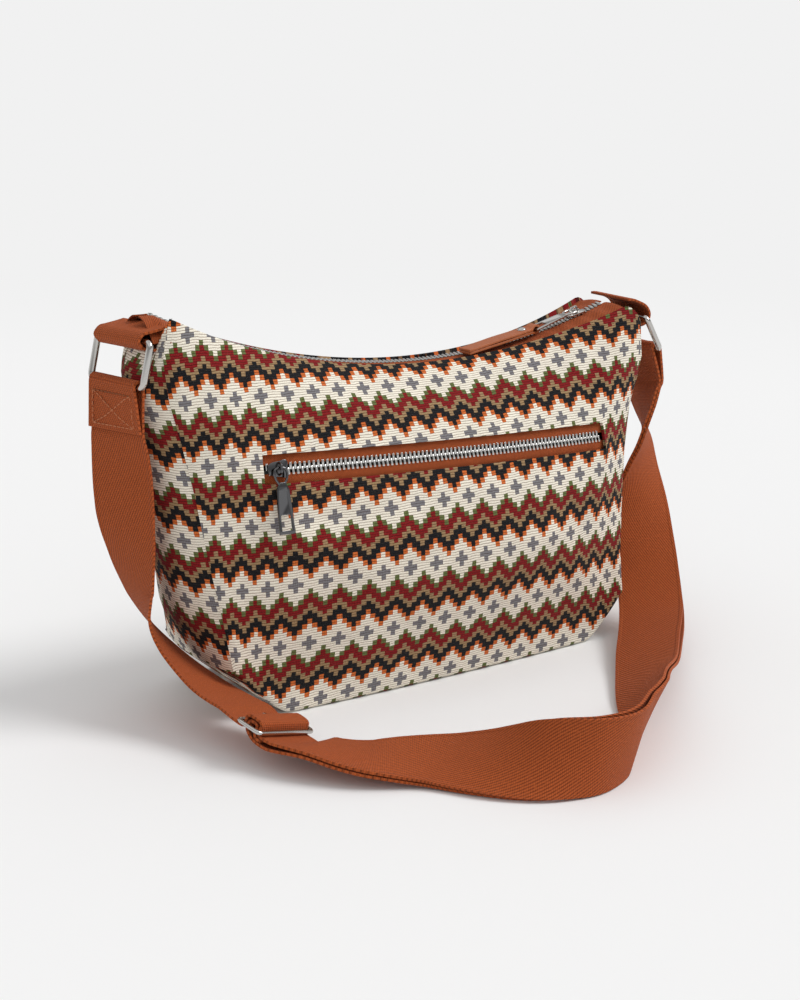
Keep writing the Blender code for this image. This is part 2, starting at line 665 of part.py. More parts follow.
def smooth_run(run, step=9.0):
    """Even stations of middle and across along a hand-set run."""
    pts = [Vector(c) for c, w in run]
    ways = [Vector(w).normalized() for c, w in run]
    out = []
    for i in range(len(pts) - 1):
        p0 = pts[max(i - 1, 0)]
        p3 = pts[min(i + 2, len(pts) - 1)]
        w0 = ways[max(i - 1, 0)]
        w3 = ways[min(i + 2, len(pts) - 1)]
        bend = (pts[i] - p0).angle(pts[i + 1] - pts[i], 0.0) + ways[i].angle(ways[i + 1])
        count = max(1, round((pts[i + 1] - pts[i]).length / step), round(bend / 0.16))
        for k in range(count):
            t = k / count
            out.append((hermite(p0, pts[i], pts[i + 1], p3, t), hermite(w0, ways[i], ways[i + 1], w3, t).normalized()))
    out.append((pts[-1], ways[-1]))
    return out


def hermite(a, b, c, d, t):
    return b + (c - a) * (0.5 * t) + (a * 2 - b * 5 + c * 4 - d) * (0.5 * t * t) + (b * 3 - a - c * 3 + d) * (0.5 * t ** 3)


def framed(stations):
    """Adds the outward direction to (middle, across) stations."""
    out = []
    for k, (c, w) in enumerate(stations):
        a = stations[max(k - 1, 0)][0]
        b = stations[min(k + 1, len(stations) - 1)][0]
        run = (b - a).normalized()
        w = (w - run * w.dot(run)).normalized()
        out.append((c, w, run.cross(w), WEB_W))
    return out


def arc(centre, across, start, end, radius, first, last, steps):
    """Stations on a turn round a bar; angles are measured from start towards end."""
    out = []
    for k in range(steps + 1):
        a = math.radians(first + (last - first) * k / steps)
        radial = start * math.cos(a) + end * math.sin(a)
        out.append((centre + radial * radius, across, radial, WEB_W - 1))
    return out


def adjuster_turn():
    """Frame of the adjuster: across the webbing, along its run, and out of the visible face."""
    across = ADJUSTER_W
    run = (ADJUSTER_RUN - across * ADJUSTER_RUN.dot(across)).normalized()
    return across, run, across.cross(run)


def strap(mat):
    """One webbing: sewn on the left ring, over the adjuster, round the right ring, back to the adjuster."""
    across, run, out = adjuster_turn()
    left_out, left_down = ring_frame(LEFT_RING, LEFT_RING_AXIS, LEFT_RING_LEAN, -1)
    right_out, right_down = ring_frame(RIGHT_RING, RIGHT_RING_AXIS, RIGHT_RING_LEAN, 1)
    left_bar = LEFT_RING + left_down * RING_H
    right_bar = RIGHT_RING + right_down * RING_H
    turn_r = RING_WIRE / 2 + 0.35 + WEB_T / 2
    up = Vector((0, 0, 1))

    def local(points):
        stations = []
        for k, (t, n) in enumerate(points):
            a = points[max(k - 1, 0)]
            b = points[min(k + 1, len(points) - 1)]
            along = (run * (b[0] - a[0]) + out * (b[1] - a[1])).normalized()
            stations.append((ADJUSTER + run * t + out * n, across, along.cross(across), WEB_W))
        return stations

    left = framed(smooth_run(LEFT_RUN))
    path = [left[0]]
    path += arc(left_bar, LEFT_RING_AXIS, left_out, up, turn_r, 0, 180, 6)
    for c, w, n, width in left:
        behind = (WEB_T + SEWN_GAP) * max(0.0, min(1.0, (c.z - 105.0) / 25.0))
        path.append((c - n * behind * (1 if n.dot(left_out) > 0 else -1), w, n, width))
    path += local([(-11.5, -2.5), (-6.4, -2.45), (-5.0, -1.3), (-4.85, 2.4), (-4.0, 3.7), (-2.0, 4.15),
                   (2.0, 4.15), (4.0, 3.7), (4.85, 2.4), (5.0, -1.3), (6.4, -2.45), (11.5, -2.45), (17.0, -1.4)])
    right = framed(smooth_run(RIGHT_RUN))
    path += [(c - n * LAYER_HALF, w, n, width) for c, w, n, width in right]
    ring_way = -RIGHT_RING_AXIS if right[-1][1].dot(RIGHT_RING_AXIS) < 0 else RIGHT_RING_AXIS
    near = right[-1][2]
    side = right_out if near.dot(right_out) < 0 else -right_out
    path += arc(right_bar, ring_way, side, up, turn_r, 0, 180, 6)
    turned = len(path)
    path += [(c + n * LAYER_HALF, w, n, width) for c, w, n, width in reversed(right)]
    path += local([(17.0, -4.6), (11.5, -5.9), (4.5, -5.9), (0.5, -4.6), (-2.4, -2.6), (-2.75, 0.0), (-2.2, 1.7), (0.0, 2.15),
                   (2.2, 1.7), (2.75, 0.0), (2.75, -2.2), (4.4, -4.15), (7.6, -4.15)])
    fixed = []
    for k, (c, w, n, width) in enumerate(path):
        a = path[max(k - 1, 0)][0]
        b = path[min(k + 1, len(path) - 1)][0]
        along = (b - a).normalized()
        w = (w - along * w.dot(along)).normalized()
        fixed.append((c, w, along.cross(w), width))
    return piece("strap", ribbon(fixed, WEB_T, turned), mat)


def adjuster(metal):
    """Three-bar slide with a small cross-shaped clip on its upper bar."""
    across, run, out = adjuster_turn()
    half = ADJUSTER_LENGTH / 2
    tall = ADJUSTER_HEIGHT / 2
    b = ADJUSTER_BAR
    t = b / 2
    boxes = [(-tall, -tall + b, -half, half, -t, t), (tall - b, tall, -half, half, -t, t), (-0.9, 0.9, -half, half, -t, t),
             (-tall, tall, -half, -half + 2.6, -t, t), (-tall, tall, half - 2.6, half, -t, t),
             (-tall - 1.0, -tall + b, -1.6, 1.6, t, t + 1.0)]
    boxes.append((-tall - 1.0, -tall, -1.6, 1.6, -t, t))
    bm = placed(bricks(boxes), run, -across, across.cross(run), ADJUSTER)
    obj = piece("adjuster", bm, metal, ADJUSTER)
    soften(obj, 0.4)
    return obj


def build():
    for obj in list(bpy.data.objects):
        bpy.data.objects.remove(obj, do_unlink=True)
    home = bpy.data.collections.new(OBJECT_NAME)
    bpy.context.scene.collection.children.link(home)
    weave = material("woven_cloth", (0.45, 0.33, 0.25, 1), roughness=0.9)
    webbing = material("webbing", (0.40, 0.11, 0.04, 1), roughness=0.85)
    tape = material("zip_tape", (0.36, 0.09, 0.035, 1), roughness=0.9)
    leather = material("leather", (0.42, 0.12, 0.045, 1), roughness=0.55)
    inside = material("lining_cloth", (0.30, 0.24, 0.18, 1), roughness=0.9)
    nickel = material("nickel", (0.72, 0.71, 0.69, 1), metallic=1.0, roughness=0.25)
    dark = material("gunmetal", (0.30, 0.30, 0.30, 1), metallic=1.0, roughness=0.3)
    front_panel(weave)
    back_panel(weave)
    gusset("left_gusset", -1, LEFT_BULGE, 17.0, weave)
    gusset("right_gusset", 1, RIGHT_BULGE, 4.5, weave)
    lining(inside)
    pocket_pouch(inside)
    top_zip(tape, nickel)
    pocket_zip(tape, dark)
    top_slider(nickel)
    top_pull(nickel, leather)
    pocket_slider(dark)
    pocket_pull(dark)
    ring("left_ring", LEFT_RING, LEFT_RING_AXIS, LEFT_RING_LEAN, -1, nickel)
    ring("right_ring", RIGHT_RING, RIGHT_RING_AXIS, RIGHT_RING_LEAN, 1, nickel)
    tab("left_tab", LEFT_RING_AXIS,
        [(-151.5, 206.2), (-157.0, 203.0), (-162.0, 201.6), (-165.5, 200.9), (-168.1, 197.5), (-165.5, 193.9),
         (-162.0, 193.0), (-156.0, 192.4), (-151.0, 192.8)], webbing)
    tab("right_tab", RIGHT_RING_AXIS,
        [(138.8, 191.4), (146.0, 192.6), (153.0, 191.2), (158.6, 188.4), (161.6, 183.8), (160.4, 179.6),
         (156.0, 177.4), (150.5, 178.2), (146.0, 180.0)], webbing)
    strap(webbing)
    adjuster(nickel)


build()
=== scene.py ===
import math

import bmesh
import bpy
from mathutils import Matrix, Vector, noise


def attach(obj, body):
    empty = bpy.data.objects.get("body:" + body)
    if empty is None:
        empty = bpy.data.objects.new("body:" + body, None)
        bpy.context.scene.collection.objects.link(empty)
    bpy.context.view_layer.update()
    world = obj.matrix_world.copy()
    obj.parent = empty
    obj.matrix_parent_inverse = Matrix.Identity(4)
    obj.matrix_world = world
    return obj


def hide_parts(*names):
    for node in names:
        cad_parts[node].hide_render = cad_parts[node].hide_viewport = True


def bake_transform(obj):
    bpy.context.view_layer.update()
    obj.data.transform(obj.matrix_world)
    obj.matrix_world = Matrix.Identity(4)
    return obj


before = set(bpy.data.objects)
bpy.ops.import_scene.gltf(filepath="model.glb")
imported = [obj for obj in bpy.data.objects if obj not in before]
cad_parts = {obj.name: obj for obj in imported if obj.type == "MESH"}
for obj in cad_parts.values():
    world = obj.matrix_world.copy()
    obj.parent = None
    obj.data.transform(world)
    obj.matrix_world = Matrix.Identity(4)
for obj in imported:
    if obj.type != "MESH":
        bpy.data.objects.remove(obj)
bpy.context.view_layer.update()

scene = bpy.context.scene
print("frame loaded")

# The bag's frame in millimetres: +X right, the pocket side faces -Y, the base stands on z = 0.
cameraSettings = {"target": (-1.0, 2.0, 90.2), "azimuth": -33.27, "elevation": 15.10, "distance": 950.0,
                  "lens": 61.28}
bodyShape = {
    "topRadius": 370.0, "topCentreX": 15.0, "topCentreZ": 539.5,
    "baseFlatX": 100.0, "baseEndX": 130.0, "baseEndZ": 28.0, "clothThickness": 1.3, "cornerDrop": 5.0,
    "leftWidths": ((0, 150), (0.14, 154), (0.27, 152), (0.38, 147), (0.52, 142), (0.71, 137.5), (0.86, 133),
                   (1, 130)),
    "rightWidths": ((0, 150), (0.14, 152), (0.27, 148), (0.38, 142), (0.52, 137), (0.71, 132), (0.86, 128.5),
                    (1, 127)),
    "leftBulge": ((0, 9), (0.3, 12), (0.6, 14), (0.86, 13), (1, 6)),
    "rightBulge": ((0, 4), (0.3, 7), (0.6, 8), (0.86, 8), (1, 5)),
}
pocketShape = {
    "radius": 1210.0, "middle": Vector((0.0, -45.4, 126.3)), "slope": math.radians(2.6),
    "tilt": math.radians(17.0),
    "depth": 2.5, "halfLength": 110.0, "halfHeight": 7.5, "sliderX": -102.0, "bail": 4.9,
}
topZip = {"radius": 371.0, "low": -151.0, "high": 138.0, "sliderX": 119.0, "bail": 3.65}
weave = {
    "period": 16.15, "rows": 33.0, "oddShift": 7.2, "evenShift": -0.9, "rib": 1.345, "thread": 0.8975,
    "cream": "F8F2E2", "grey": "87868A", "green": "6C7846", "red": "8C1A1E", "tan": "AA8D68",
    "black": "1B1C20",
    "orange": "DE7438",
}
finishes = {"webbing": "B8592A", "tape": "AE5429", "leather": "B4602F", "lining": "94806A",
            "thread": "C4754A"}


def hexColour(text):
    parts = [int(text[k:k + 2], 16) / 255 for k in (0, 2, 4)]
    return tuple(v / 12.92 if v <= 0.04045 else ((v + 0.055) / 1.055) ** 2.4 for v in parts) + (1.0,)


# Shader helpers

def addNode(tree, kind, **values):
    node = tree.nodes.new(kind)
    for key, value in values.items():
        setattr(node, key, value)
    return node


def feed(tree, socket, value):
    if isinstance(value, bpy.types.NodeSocket):
        tree.links.new(value, socket)
    else:
        socket.default_value = value


def calc(tree, operation, *values, clamp=False):
    node = addNode(tree, "ShaderNodeMath", operation=operation, use_clamp=clamp)
    for socket, value in zip(node.inputs, values):
        feed(tree, socket, value)
    return node.outputs[0]


def fromMiddle(tree, value):
    return calc(tree, "ABSOLUTE", calc(tree, "SUBTRACT", calc(tree, "FRACT", value), 0.5))


def softMask(tree, value, low, gain):
    return calc(tree, "MULTIPLY", calc(tree, "SUBTRACT", value, low), gain, clamp=True)


def blendColours(tree, factor, first, second, kind="MIX"):
    node = addNode(tree, "ShaderNodeMix", data_type="RGBA", blend_type=kind)
    feed(tree, node.inputs["Factor"], factor)
    feed(tree, node.inputs["A"], first)
    feed(tree, node.inputs["B"], second)
    return node.outputs["Result"]


def grainNoise(tree, place, scale, detail=2.0, colour=False):
    node = addNode(tree, "ShaderNodeTexNoise")
    feed(tree, node.inputs["Vector"], place)
    node.inputs["Scale"].default_value = scale
    node.inputs["Detail"].default_value = detail
    return node.outputs["Color" if colour else "Fac"]


def newGroup(name, inputs, outputs):
    tree = bpy.data.node_groups.new(name, "ShaderNodeTree")
    for label, kind, value in inputs:
        socket = tree.interface.new_socket(name=label, in_out="INPUT", socket_type="NodeSocket" + kind)
        if value is not None:
            socket.default_value = value
    for label, kind in outputs:
        tree.interface.new_socket(name=label, in_out="OUTPUT", socket_type="NodeSocket" + kind)
    return tree, tree.nodes.new("NodeGroupInput"), tree.nodes.new("NodeGroupOutput")


def steppedRamp(tree, factor, stops):
    node = addNode(tree, "ShaderNodeValToRGB")
    ramp = node.color_ramp
    ramp.interpolation = "CONSTANT"
    ramp.elements[0].position = 0.0
    ramp.elements[0].color = stops[0][1]
    ramp.elements[1].position = stops[1][0]
    ramp.elements[1].color = stops[1][1]
    for position, colour in stops[2:]:
        ramp.elements.new(position).color = colour
    feed(tree, node.inputs[0], factor)
    return node.outputs[0]


def zigzagGroup():
    # Cream diamonds with a grey cross, then green, red, tan and black steps, drawn block by block.
    tree, start, end = newGroup("zigzagWeave", [("Place", "Vector", None)],
                                [("Colour", "Color"), ("Height", "Float")])
    place = start.outputs["Place"]
    wobble = addNode(tree, "ShaderNodeVectorMath", operation="MULTIPLY_ADD")
    feed(tree, wobble.inputs[0], grainNoise(tree, place, 0.22, 1.0, colour=True))
    wobble.inputs[1].default_value = (1.1, 1.1, 0)
    feed(tree, wobble.inputs[2], place)
    split = addNode(tree, "ShaderNodeSeparateXYZ")
    feed(tree, split.inputs[0], wobble.outputs[0])
    u = calc(tree, "ADD", split.outputs["X"], -0.55)
    v = calc(tree, "ADD", split.outputs["Y"], -0.55)
    row = calc(tree, "FLOOR", calc(tree, "ADD", calc(tree, "DIVIDE", v, weave["rows"]), 0.5))
    inRow = calc(tree, "SUBTRACT", v, calc(tree, "MULTIPLY", row, weave["rows"]))
    odd = calc(tree, "FLOORED_MODULO", row, 2.0)
    shift = calc(tree, "MULTIPLY_ADD", odd, weave["evenShift"] - weave["oddShift"], weave["oddShift"])
    turns = calc(tree, "DIVIDE", calc(tree, "SUBTRACT", u, shift), weave["period"])
    away = fromMiddle(tree, calc(tree, "ADD", turns, 0.5))
    step = calc(tree, "FLOOR", calc(tree, "MULTIPLY_ADD", away, 6.0, 0.5))
    rib = calc(tree, "DIVIDE", inRow, weave["rib"])
    high = calc(tree, "MULTIPLY", calc(tree, "ADD", calc(tree, "FLOOR", rib), 0.5), 0.5)
    size = calc(tree, "ABSOLUTE", high)
    beyond = calc(tree, "SUBTRACT", size, calc(tree, "MULTIPLY_ADD", step, -0.9, 3.8))
    factor = calc(tree, "DIVIDE", calc(tree, "ADD", beyond, 1.0), 8.0, clamp=True)
    c = {key: hexColour(weave[key]) for key in ("cream", "grey", "green", "red", "tan", "black", "orange")}
    lower = steppedRamp(tree, factor,
                        [(0, c["cream"]), (0.125, c["green"]), (0.25, c["red"]), (0.5, c["tan"]),
                                       (0.7, c["black"])])
    upper = steppedRamp(tree, factor,
                        [(0, c["cream"]), (0.125, c["orange"]), (0.25, c["black"]), (0.5, c["tan"]),
                                       (0.7, c["red"])])
    colour = blendColours(tree, calc(tree, "GREATER_THAN", high, 0.0), upper, lower)
    tall = calc(tree, "MULTIPLY", calc(tree, "LESS_THAN", size, 1.5), calc(tree, "LESS_THAN", step, 0.5))
    wide = calc(tree, "MULTIPLY", calc(tree, "LESS_THAN", size, 0.6), calc(tree, "LESS_THAN", step, 1.5))
    colour = blendColours(tree, calc(tree, "MAXIMUM", tall, wide), colour, c["grey"])
    # Ribs across with painted shade in the grooves between them, thin threads along, and a heather of stray
    # threads
    gap = fromMiddle(tree, rib)
    paintedGrooveShade = softMask(tree, gap, 0.34, 7.0)
    thread = fromMiddle(tree, calc(tree, "DIVIDE", u, weave["thread"]))
    stray = softMask(tree, grainNoise(tree, place, 1.7, 3.0), 0.51, 4.5)
    colour = blendColours(tree, calc(tree, "MULTIPLY", stray, 0.45), colour, hexColour("B49A82"), "MULTIPLY")
    # Painted shade: the grooves between the ribs are darkened towards a deep brown
    colour = blendColours(tree, calc(tree, "MULTIPLY", paintedGrooveShade, 0.9), colour, hexColour("7E5236"), "MULTIPLY")
    stitch = softMask(tree, thread, 0.3, 5.0)
    outside = calc(tree, "MAXIMUM", calc(tree, "GREATER_THAN", beyond, 0.0),
                   calc(tree, "MAXIMUM", tall, wide))
    speck = calc(tree, "MULTIPLY", calc(tree, "MULTIPLY", stitch, outside), 0.6)
    colour = blendColours(tree, speck, colour, hexColour("8A7A6C"), "MULTIPLY")
    light = softMask(tree, grainNoise(tree, place, 2.6, 2.0), 0.6, 5.0)
    colour = blendColours(tree, calc(tree, "MULTIPLY", calc(tree, "MULTIPLY", light, outside), 0.4), colour,
                          hexColour("B9A488"))
    shade = calc(tree, "MULTIPLY_ADD", grainNoise(tree, place, 0.05, 2.0), 0.22, 0.89)
    tone = addNode(tree, "ShaderNodeVectorMath", operation="SCALE")
    feed(tree, tone.inputs[0], colour)
    feed(tree, tone.inputs["Scale"], shade)
    round1 = calc(tree, "SUBTRACT", 1.0, calc(tree, "POWER", calc(tree, "MULTIPLY", gap, 2.0), 3.0))
    round2 = calc(tree, "MULTIPLY", calc(tree, "POWER", calc(tree, "MULTIPLY", thread, 2.0), 2.0), -0.28)
    feed(tree, end.inputs["Colour"], tone.outputs[0])
    feed(tree, end.inputs["Height"], calc(tree, "ADD", round1, round2))
    return tree


def twillGroup():
    # Slanted ribs of a webbing or tape; Place is along and across in millimetres.
    tree, start, end = newGroup(
        "twill", [("Place", "Vector", None), ("Pitch", "Float", 1.3), ("Slant", "Float", 1.0)],
        [("Height", "Float"), ("Fleck", "Float")])
    place = start.outputs["Place"]
    split = addNode(tree, "ShaderNodeSeparateXYZ")
    feed(tree, split.inputs[0], place)
    along = calc(tree, "MULTIPLY", split.outputs["X"], start.outputs["Slant"])
    run = calc(tree, "DIVIDE", calc(tree, "ADD", along, split.outputs["Y"]), start.outputs["Pitch"])
    rib = calc(tree, "MULTIPLY", fromMiddle(tree, run), 2.0)
    cross = calc(tree, "DIVIDE", split.outputs["X"], calc(tree, "MULTIPLY", start.outputs["Pitch"], 0.62))
    tick = calc(tree, "MULTIPLY", fromMiddle(tree, cross), 2.0)
    height = calc(tree, "ADD", calc(tree, "SUBTRACT", 1.0, calc(tree, "POWER", rib, 2.0)),
                  calc(tree, "MULTIPLY", calc(tree, "POWER", tick, 2.0), -0.5))
    feed(tree, end.inputs["Height"], height)
    feed(tree, end.inputs["Fleck"], grainNoise(tree, place, 0.9, 3.0))
    return tree


def grainGroup():
    # Cloudy tone, fine grain and small pits for leather, metal and lining, in millimetres
    tree, start, end = newGroup("surfaceGrain", [("Place", "Vector", None), ("Scale", "Float", 1.0)],
                                [("Cloud", "Float"), ("Fine", "Float"), ("Pits", "Float")])
    scaled = addNode(tree, "ShaderNodeVectorMath", operation="SCALE")
    feed(tree, scaled.inputs[0], start.outputs["Place"])
    feed(tree, scaled.inputs["Scale"], start.outputs["Scale"])
    feed(tree, end.inputs["Cloud"], grainNoise(tree, scaled.outputs[0], 0.12, 3.0))
    feed(tree, end.inputs["Fine"], grainNoise(tree, scaled.outputs[0], 1.6, 4.0))
    cells = addNode(tree, "ShaderNodeTexVoronoi")
    feed(tree, cells.inputs["Vector"], scaled.outputs[0])
    cells.inputs["Scale"].default_value = 1.1
    feed(tree, end.inputs["Pits"], cells.outputs["Distance"])
    return tree


def placeGroup(tree, group, place, **values):
    node = addNode(tree, "ShaderNodeGroup", node_tree=group)
    feed(tree, node.inputs["Place"], place)
    for key, value in values.items():
        node.inputs[key].default_value = value
    return node.outputs


def newMaterial(name, roughness, metallic=0.0, onCloth=False):
    mat = bpy.data.materials.new(name)
    mat.use_nodes = True
    tree = mat.node_tree
    shader = tree.nodes["Principled BSDF"]
    shader.inputs["Roughness"].default_value = roughness
    shader.inputs["Metallic"].default_value = metallic
    if onCloth:
        place = addNode(tree, "ShaderNodeUVMap", uv_map="cloth").outputs[0]
    else:
        scaled = addNode(tree, "ShaderNodeVectorMath", operation="SCALE")
        feed(tree, scaled.inputs[0], addNode(tree, "ShaderNodeTexCoord").outputs["Object"])
        scaled.inputs["Scale"].default_value = 1000.0
        place = scaled.outputs[0]
    return mat, tree, shader, place


def bump(tree, shader, height, strength, distance):
    node = addNode(tree, "ShaderNodeBump")
    node.inputs["Strength"].default_value = strength
    node.inputs["Distance"].default_value = distance * 0.001
    feed(tree, node.inputs["Height"], height)
    feed(tree, shader.inputs["Normal"], node.outputs[0])


def wovenMaterial(group):
    mat, tree, shader, place = newMaterial("wovenCloth", 0.9, onCloth=True)
    outputs = placeGroup(tree, group, place)
    feed(tree, shader.inputs["Base Color"], outputs["Colour"])
    shader.inputs["Sheen Weight"].default_value = 0.04
    shader.inputs["Specular IOR Level"].default_value = 0.15
    bump(tree, shader, outputs["Height"], 0.75, 0.32)
    return mat


def bandMaterial(name, group, colour, pitch, slant, halfWidth, strength):
    mat, tree, shader, place = newMaterial(name, 0.82, onCloth=True)
    outputs = placeGroup(tree, group, place, Pitch=pitch, Slant=slant)
    split = addNode(tree, "ShaderNodeSeparateXYZ")
    feed(tree, split.inputs[0], place)
    toEdge = calc(tree, "SUBTRACT", calc(tree, "ABSOLUTE", split.outputs["Y"]), halfWidth - 2.2)
    edge = calc(tree, "MULTIPLY", toEdge, 1.5, clamp=True)
    # Painted shade: the low grooves between the twill ribs take a colour four tenths as bright, so the ribs
    # read in relief
    deep = tuple(v * 0.4 for v in hexColour(colour)[:3]) + (1.0,)
    light = tuple(min(1.0, v * 1.22) for v in hexColour(colour)[:3]) + (1.0,)
    tone = blendColours(tree, outputs["Height"], deep, hexColour(colour))
    fleck = softMask(tree, outputs["Fleck"], 0.5, 2.2)
    tone = blendColours(tree, fleck, tone, light)
    feed(tree, shader.inputs["Base Color"], tone)
    shader.inputs["Sheen Weight"].default_value = 0.03
    shader.inputs["Specular IOR Level"].default_value = 0.2
    bump(tree, shader, calc(tree, "MULTIPLY_ADD", edge, 1.6, outputs["Height"]), strength, 0.25)
    return mat


def leatherMaterial(group):
    mat, tree, shader, place = newMaterial("foldedLeather", 0.5)
    outputs = placeGroup(tree, group, place, Scale=1.0)
    base = hexColour(finishes["leather"])
    deep = tuple(v * 0.7 for v in base[:3]) + (1.0,)
    feed(tree, shader.inputs["Base Color"], blendColours(tree, outputs["Cloud"], deep, base))
    feed(tree, shader.inputs["Roughness"], calc(tree, "MULTIPLY_ADD", outputs["Fine"], 0.2, 0.4))
    bump(tree, shader, calc(tree, "ADD", outputs["Pits"], outputs["Fine"]), 0.35, 0.12)
    return mat


def metalMaterial(name, group, colour, low, high):
    mat, tree, shader, place = newMaterial(name, low, metallic=1.0)
    outputs = placeGroup(tree, group, place, Scale=0.8)
    deep = tuple(v * 0.82 for v in colour[:3]) + (1.0,)
    feed(tree, shader.inputs["Base Color"], blendColours(tree, outputs["Cloud"], deep, colour))
    feed(tree, shader.inputs["Roughness"], calc(tree, "MULTIPLY_ADD", outputs["Fine"], high - low, low))
    bump(tree, shader, outputs["Fine"], 0.1, 0.05)
    return mat


def liningMaterial(group, twill):
    mat, tree, shader, place = newMaterial("liningCloth", 0.85)
    outputs = placeGroup(tree, group, place, Scale=1.0)
    threads = placeGroup(tree, twill, place, Pitch=0.9, Slant=1.0)
    base = hexColour(finishes["lining"])
    deep = tuple(v * 0.8 for v in base[:3]) + (1.0,)
    feed(tree, shader.inputs["Base Color"], blendColours(tree, outputs["Cloud"], deep, base))
    bump(tree, shader, threads["Height"], 0.4, 0.15)
    return mat


def plainMaterial(name, twill, colour):
    mat, tree, shader, place = newMaterial(name, 0.7)
    threads = placeGroup(tree, twill, place, Pitch=0.35, Slant=1.0)
    deep = tuple(v * 0.75 for v in hexColour(colour)[:3]) + (1.0,)
    feed(tree, shader.inputs["Base Color"], blendColours(tree, threads["Fleck"], deep, hexColour(colour)))
    bump(tree, shader, threads["Height"], 0.4, 0.1)
    return mat


zigzag = zigzagGroup()
twill = twillGroup()
grain = grainGroup()
mats = {
    "woven": wovenMaterial(zigzag),
    "webbing": bandMaterial("ribbedWebbing", twill, finishes["webbing"], 1.5, 0.55, 18.5, 1.0),
    "tape": bandMaterial("twillTape", twill, finishes["tape"], 1.0, 1.0, 30.0, 0.6),
    "leather": leatherMaterial(grain),
    "nickel": metalMaterial("polishedNickel", grain, (0.58, 0.565, 0.54, 1), 0.07, 0.2),
    "gunmetal": metalMaterial("darkNickel", grain, (0.14, 0.14, 0.145, 1), 0.06, 0.18),
    "lining": liningMaterial(grain, twill),
    "zipSteel": metalMaterial("zipSteel", grain, (0.68, 0.67, 0.65, 1), 0.16, 0.3),
    "stitch": plainMaterial("sewingThread", twill, finishes["thread"]),
}
print("materials ready")


# The bag's outline

def between(pairs, t):
    for (t0, v0), (t1, v1) in zip(pairs, pairs[1:]):
        if t <= t1:
            return v0 + (v1 - v0) * (t - t0) / (t1 - t0)
    return pairs[-1][1]


def smoothStep(low, high, value):
    t = max(0.0, min(1.0, (value - low) / (high - low)))
    return t * t * (3 - 2 * t)


def topHeight(x):
    b = bodyShape
    z = b["topCentreZ"] - math.sqrt(b["topRadius"] ** 2 - (x - b["topCentreX"]) ** 2)
    return z - 0.075 * max(x - 136.0, 0.0) ** 2


def baseHeight(x):
    b = bodyShape
    over = max(abs(x) - b["baseFlatX"], 0.0) / (b["baseEndX"] - b["baseFlatX"])
    return b["baseEndZ"] * over ** 1.2


def halfWidth(u, s):
    return between(bodyShape["leftWidths" if u < 0 else "rightWidths"], s)


def belly(u, s, top, foot, swell):
    bulge = swell * (29.0 - 34.0 * abs(u) ** 2.6)
    return top * (11.0 + 13.0 * u * u) * (1 - s) + foot * (46.0 - 4.0 * u
                                                           * u) * s + bulge * math.sin(math.pi * s ** 0.8)


def panelPoint(u, s, back=False):
    x = u * halfWidth(u, s)
    z = topHeight(x) * (1 - s) + s * baseHeight(x)
    y = belly(u, s, 1.0, 0.92, 0.88) if back else -belly(u, s, 1.0, 1.0, 1.0)
    return Vector((x, y, z))


def zipFrame(x, sink=0.0):
    p = pocketShape
    along = Vector((math.cos(p["slope"]), 0, -math.sin(p["slope"])))
    axis = Vector((math.sin(p["slope"]), 0, math.cos(p["slope"])))
    inward = Vector((0, 1, 0))
    angle = math.asin(x / p["radius"] / along.x)
    radial = along * math.sin(angle) - inward * math.cos(angle)
    run = along * math.cos(angle) + inward * math.sin(angle)
    up = axis * math.cos(p["tilt"]) - radial * math.sin(p["tilt"])
    out = axis * math.sin(p["tilt"]) + radial * math.cos(p["tilt"])
    return p["middle"] + inward * p["radius"] + radial * p["radius"] - out * sink, run, up, out


def insetFrame(x):
    return zipFrame(x, pocketShape["depth"])


def topFrame(x):
    angle = math.asin((x - bodyShape["topCentreX"]) / topZip["radius"])
    up = Vector((-math.sin(angle), 0, math.cos(angle)))
    run = Vector((math.cos(angle), 0, math.sin(angle)))
    centre = Vector((bodyShape["topCentreX"], 0, bodyShape["topCentreZ"])) - up * topZip["radius"]
    return centre, run, Vector((0, 1, 0)), up


# Mesh helpers

def finishPiece(name, bm, mat, body, replaces=(), wall=0.0, offset=-1.0, bevel=0.0, subdivide=0,
                sharp=50):
    bmesh.ops.scale(bm, vec=(0.001, 0.001, 0.001), verts=bm.verts[:])
    mesh = bpy.data.meshes.new(name)
    bm.to_mesh(mesh)
    bm.free()
    obj = bpy.data.objects.new(name, mesh)
    scene.collection.objects.link(obj)
    mesh.materials.append(mat)
    if subdivide:
        layer = obj.modifiers.new("Subdivision", "SUBSURF")
        layer.levels = layer.render_levels = subdivide
    if wall:
        layer = obj.modifiers.new("Solidify", "SOLIDIFY")
        layer.thickness = wall * 0.001
        layer.offset = offset
    if bevel:
        layer = obj.modifiers.new("Bevel", "BEVEL")
        layer.width = bevel * 0.001
        layer.segments = 2
        layer.limit_method = "ANGLE"
        layer.angle_limit = math.radians(35)
    if obj.modifiers:
        bpy.context.view_layer.update()
        final = bpy.data.meshes.new_from_object(obj.evaluated_get(bpy.context.evaluated_depsgraph_get()))
        obj.modifiers.clear()
        obj.data = final
        bpy.data.meshes.remove(mesh)
        final.name = name
    obj.data.polygons.foreach_set("use_smooth", [True] * len(obj.data.polygons))
    obj.data.set_sharp_from_angle(angle=math.radians(sharp))
    if replaces:
        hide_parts(*replaces)
    if body:
        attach(obj, body)
    return obj


def mappedSheet(columns, rows, place):
    # A flat grid bent by place(i, j), with a map of the distances along and down the cloth in millimetres.
    bm = bmesh.new()
    bmesh.ops.create_grid(bm, x_segments=columns, y_segments=rows, size=1)
    cells = {}
    for vert in bm.verts:
        i = round((vert.co.x + 1) / 2 * columns)
        j = round((1 - vert.co.y) / 2 * rows)
        cells[i, j] = vert
    for (i, j), vert in cells.items():
        vert.co = place(i, j)
    return bm, cells


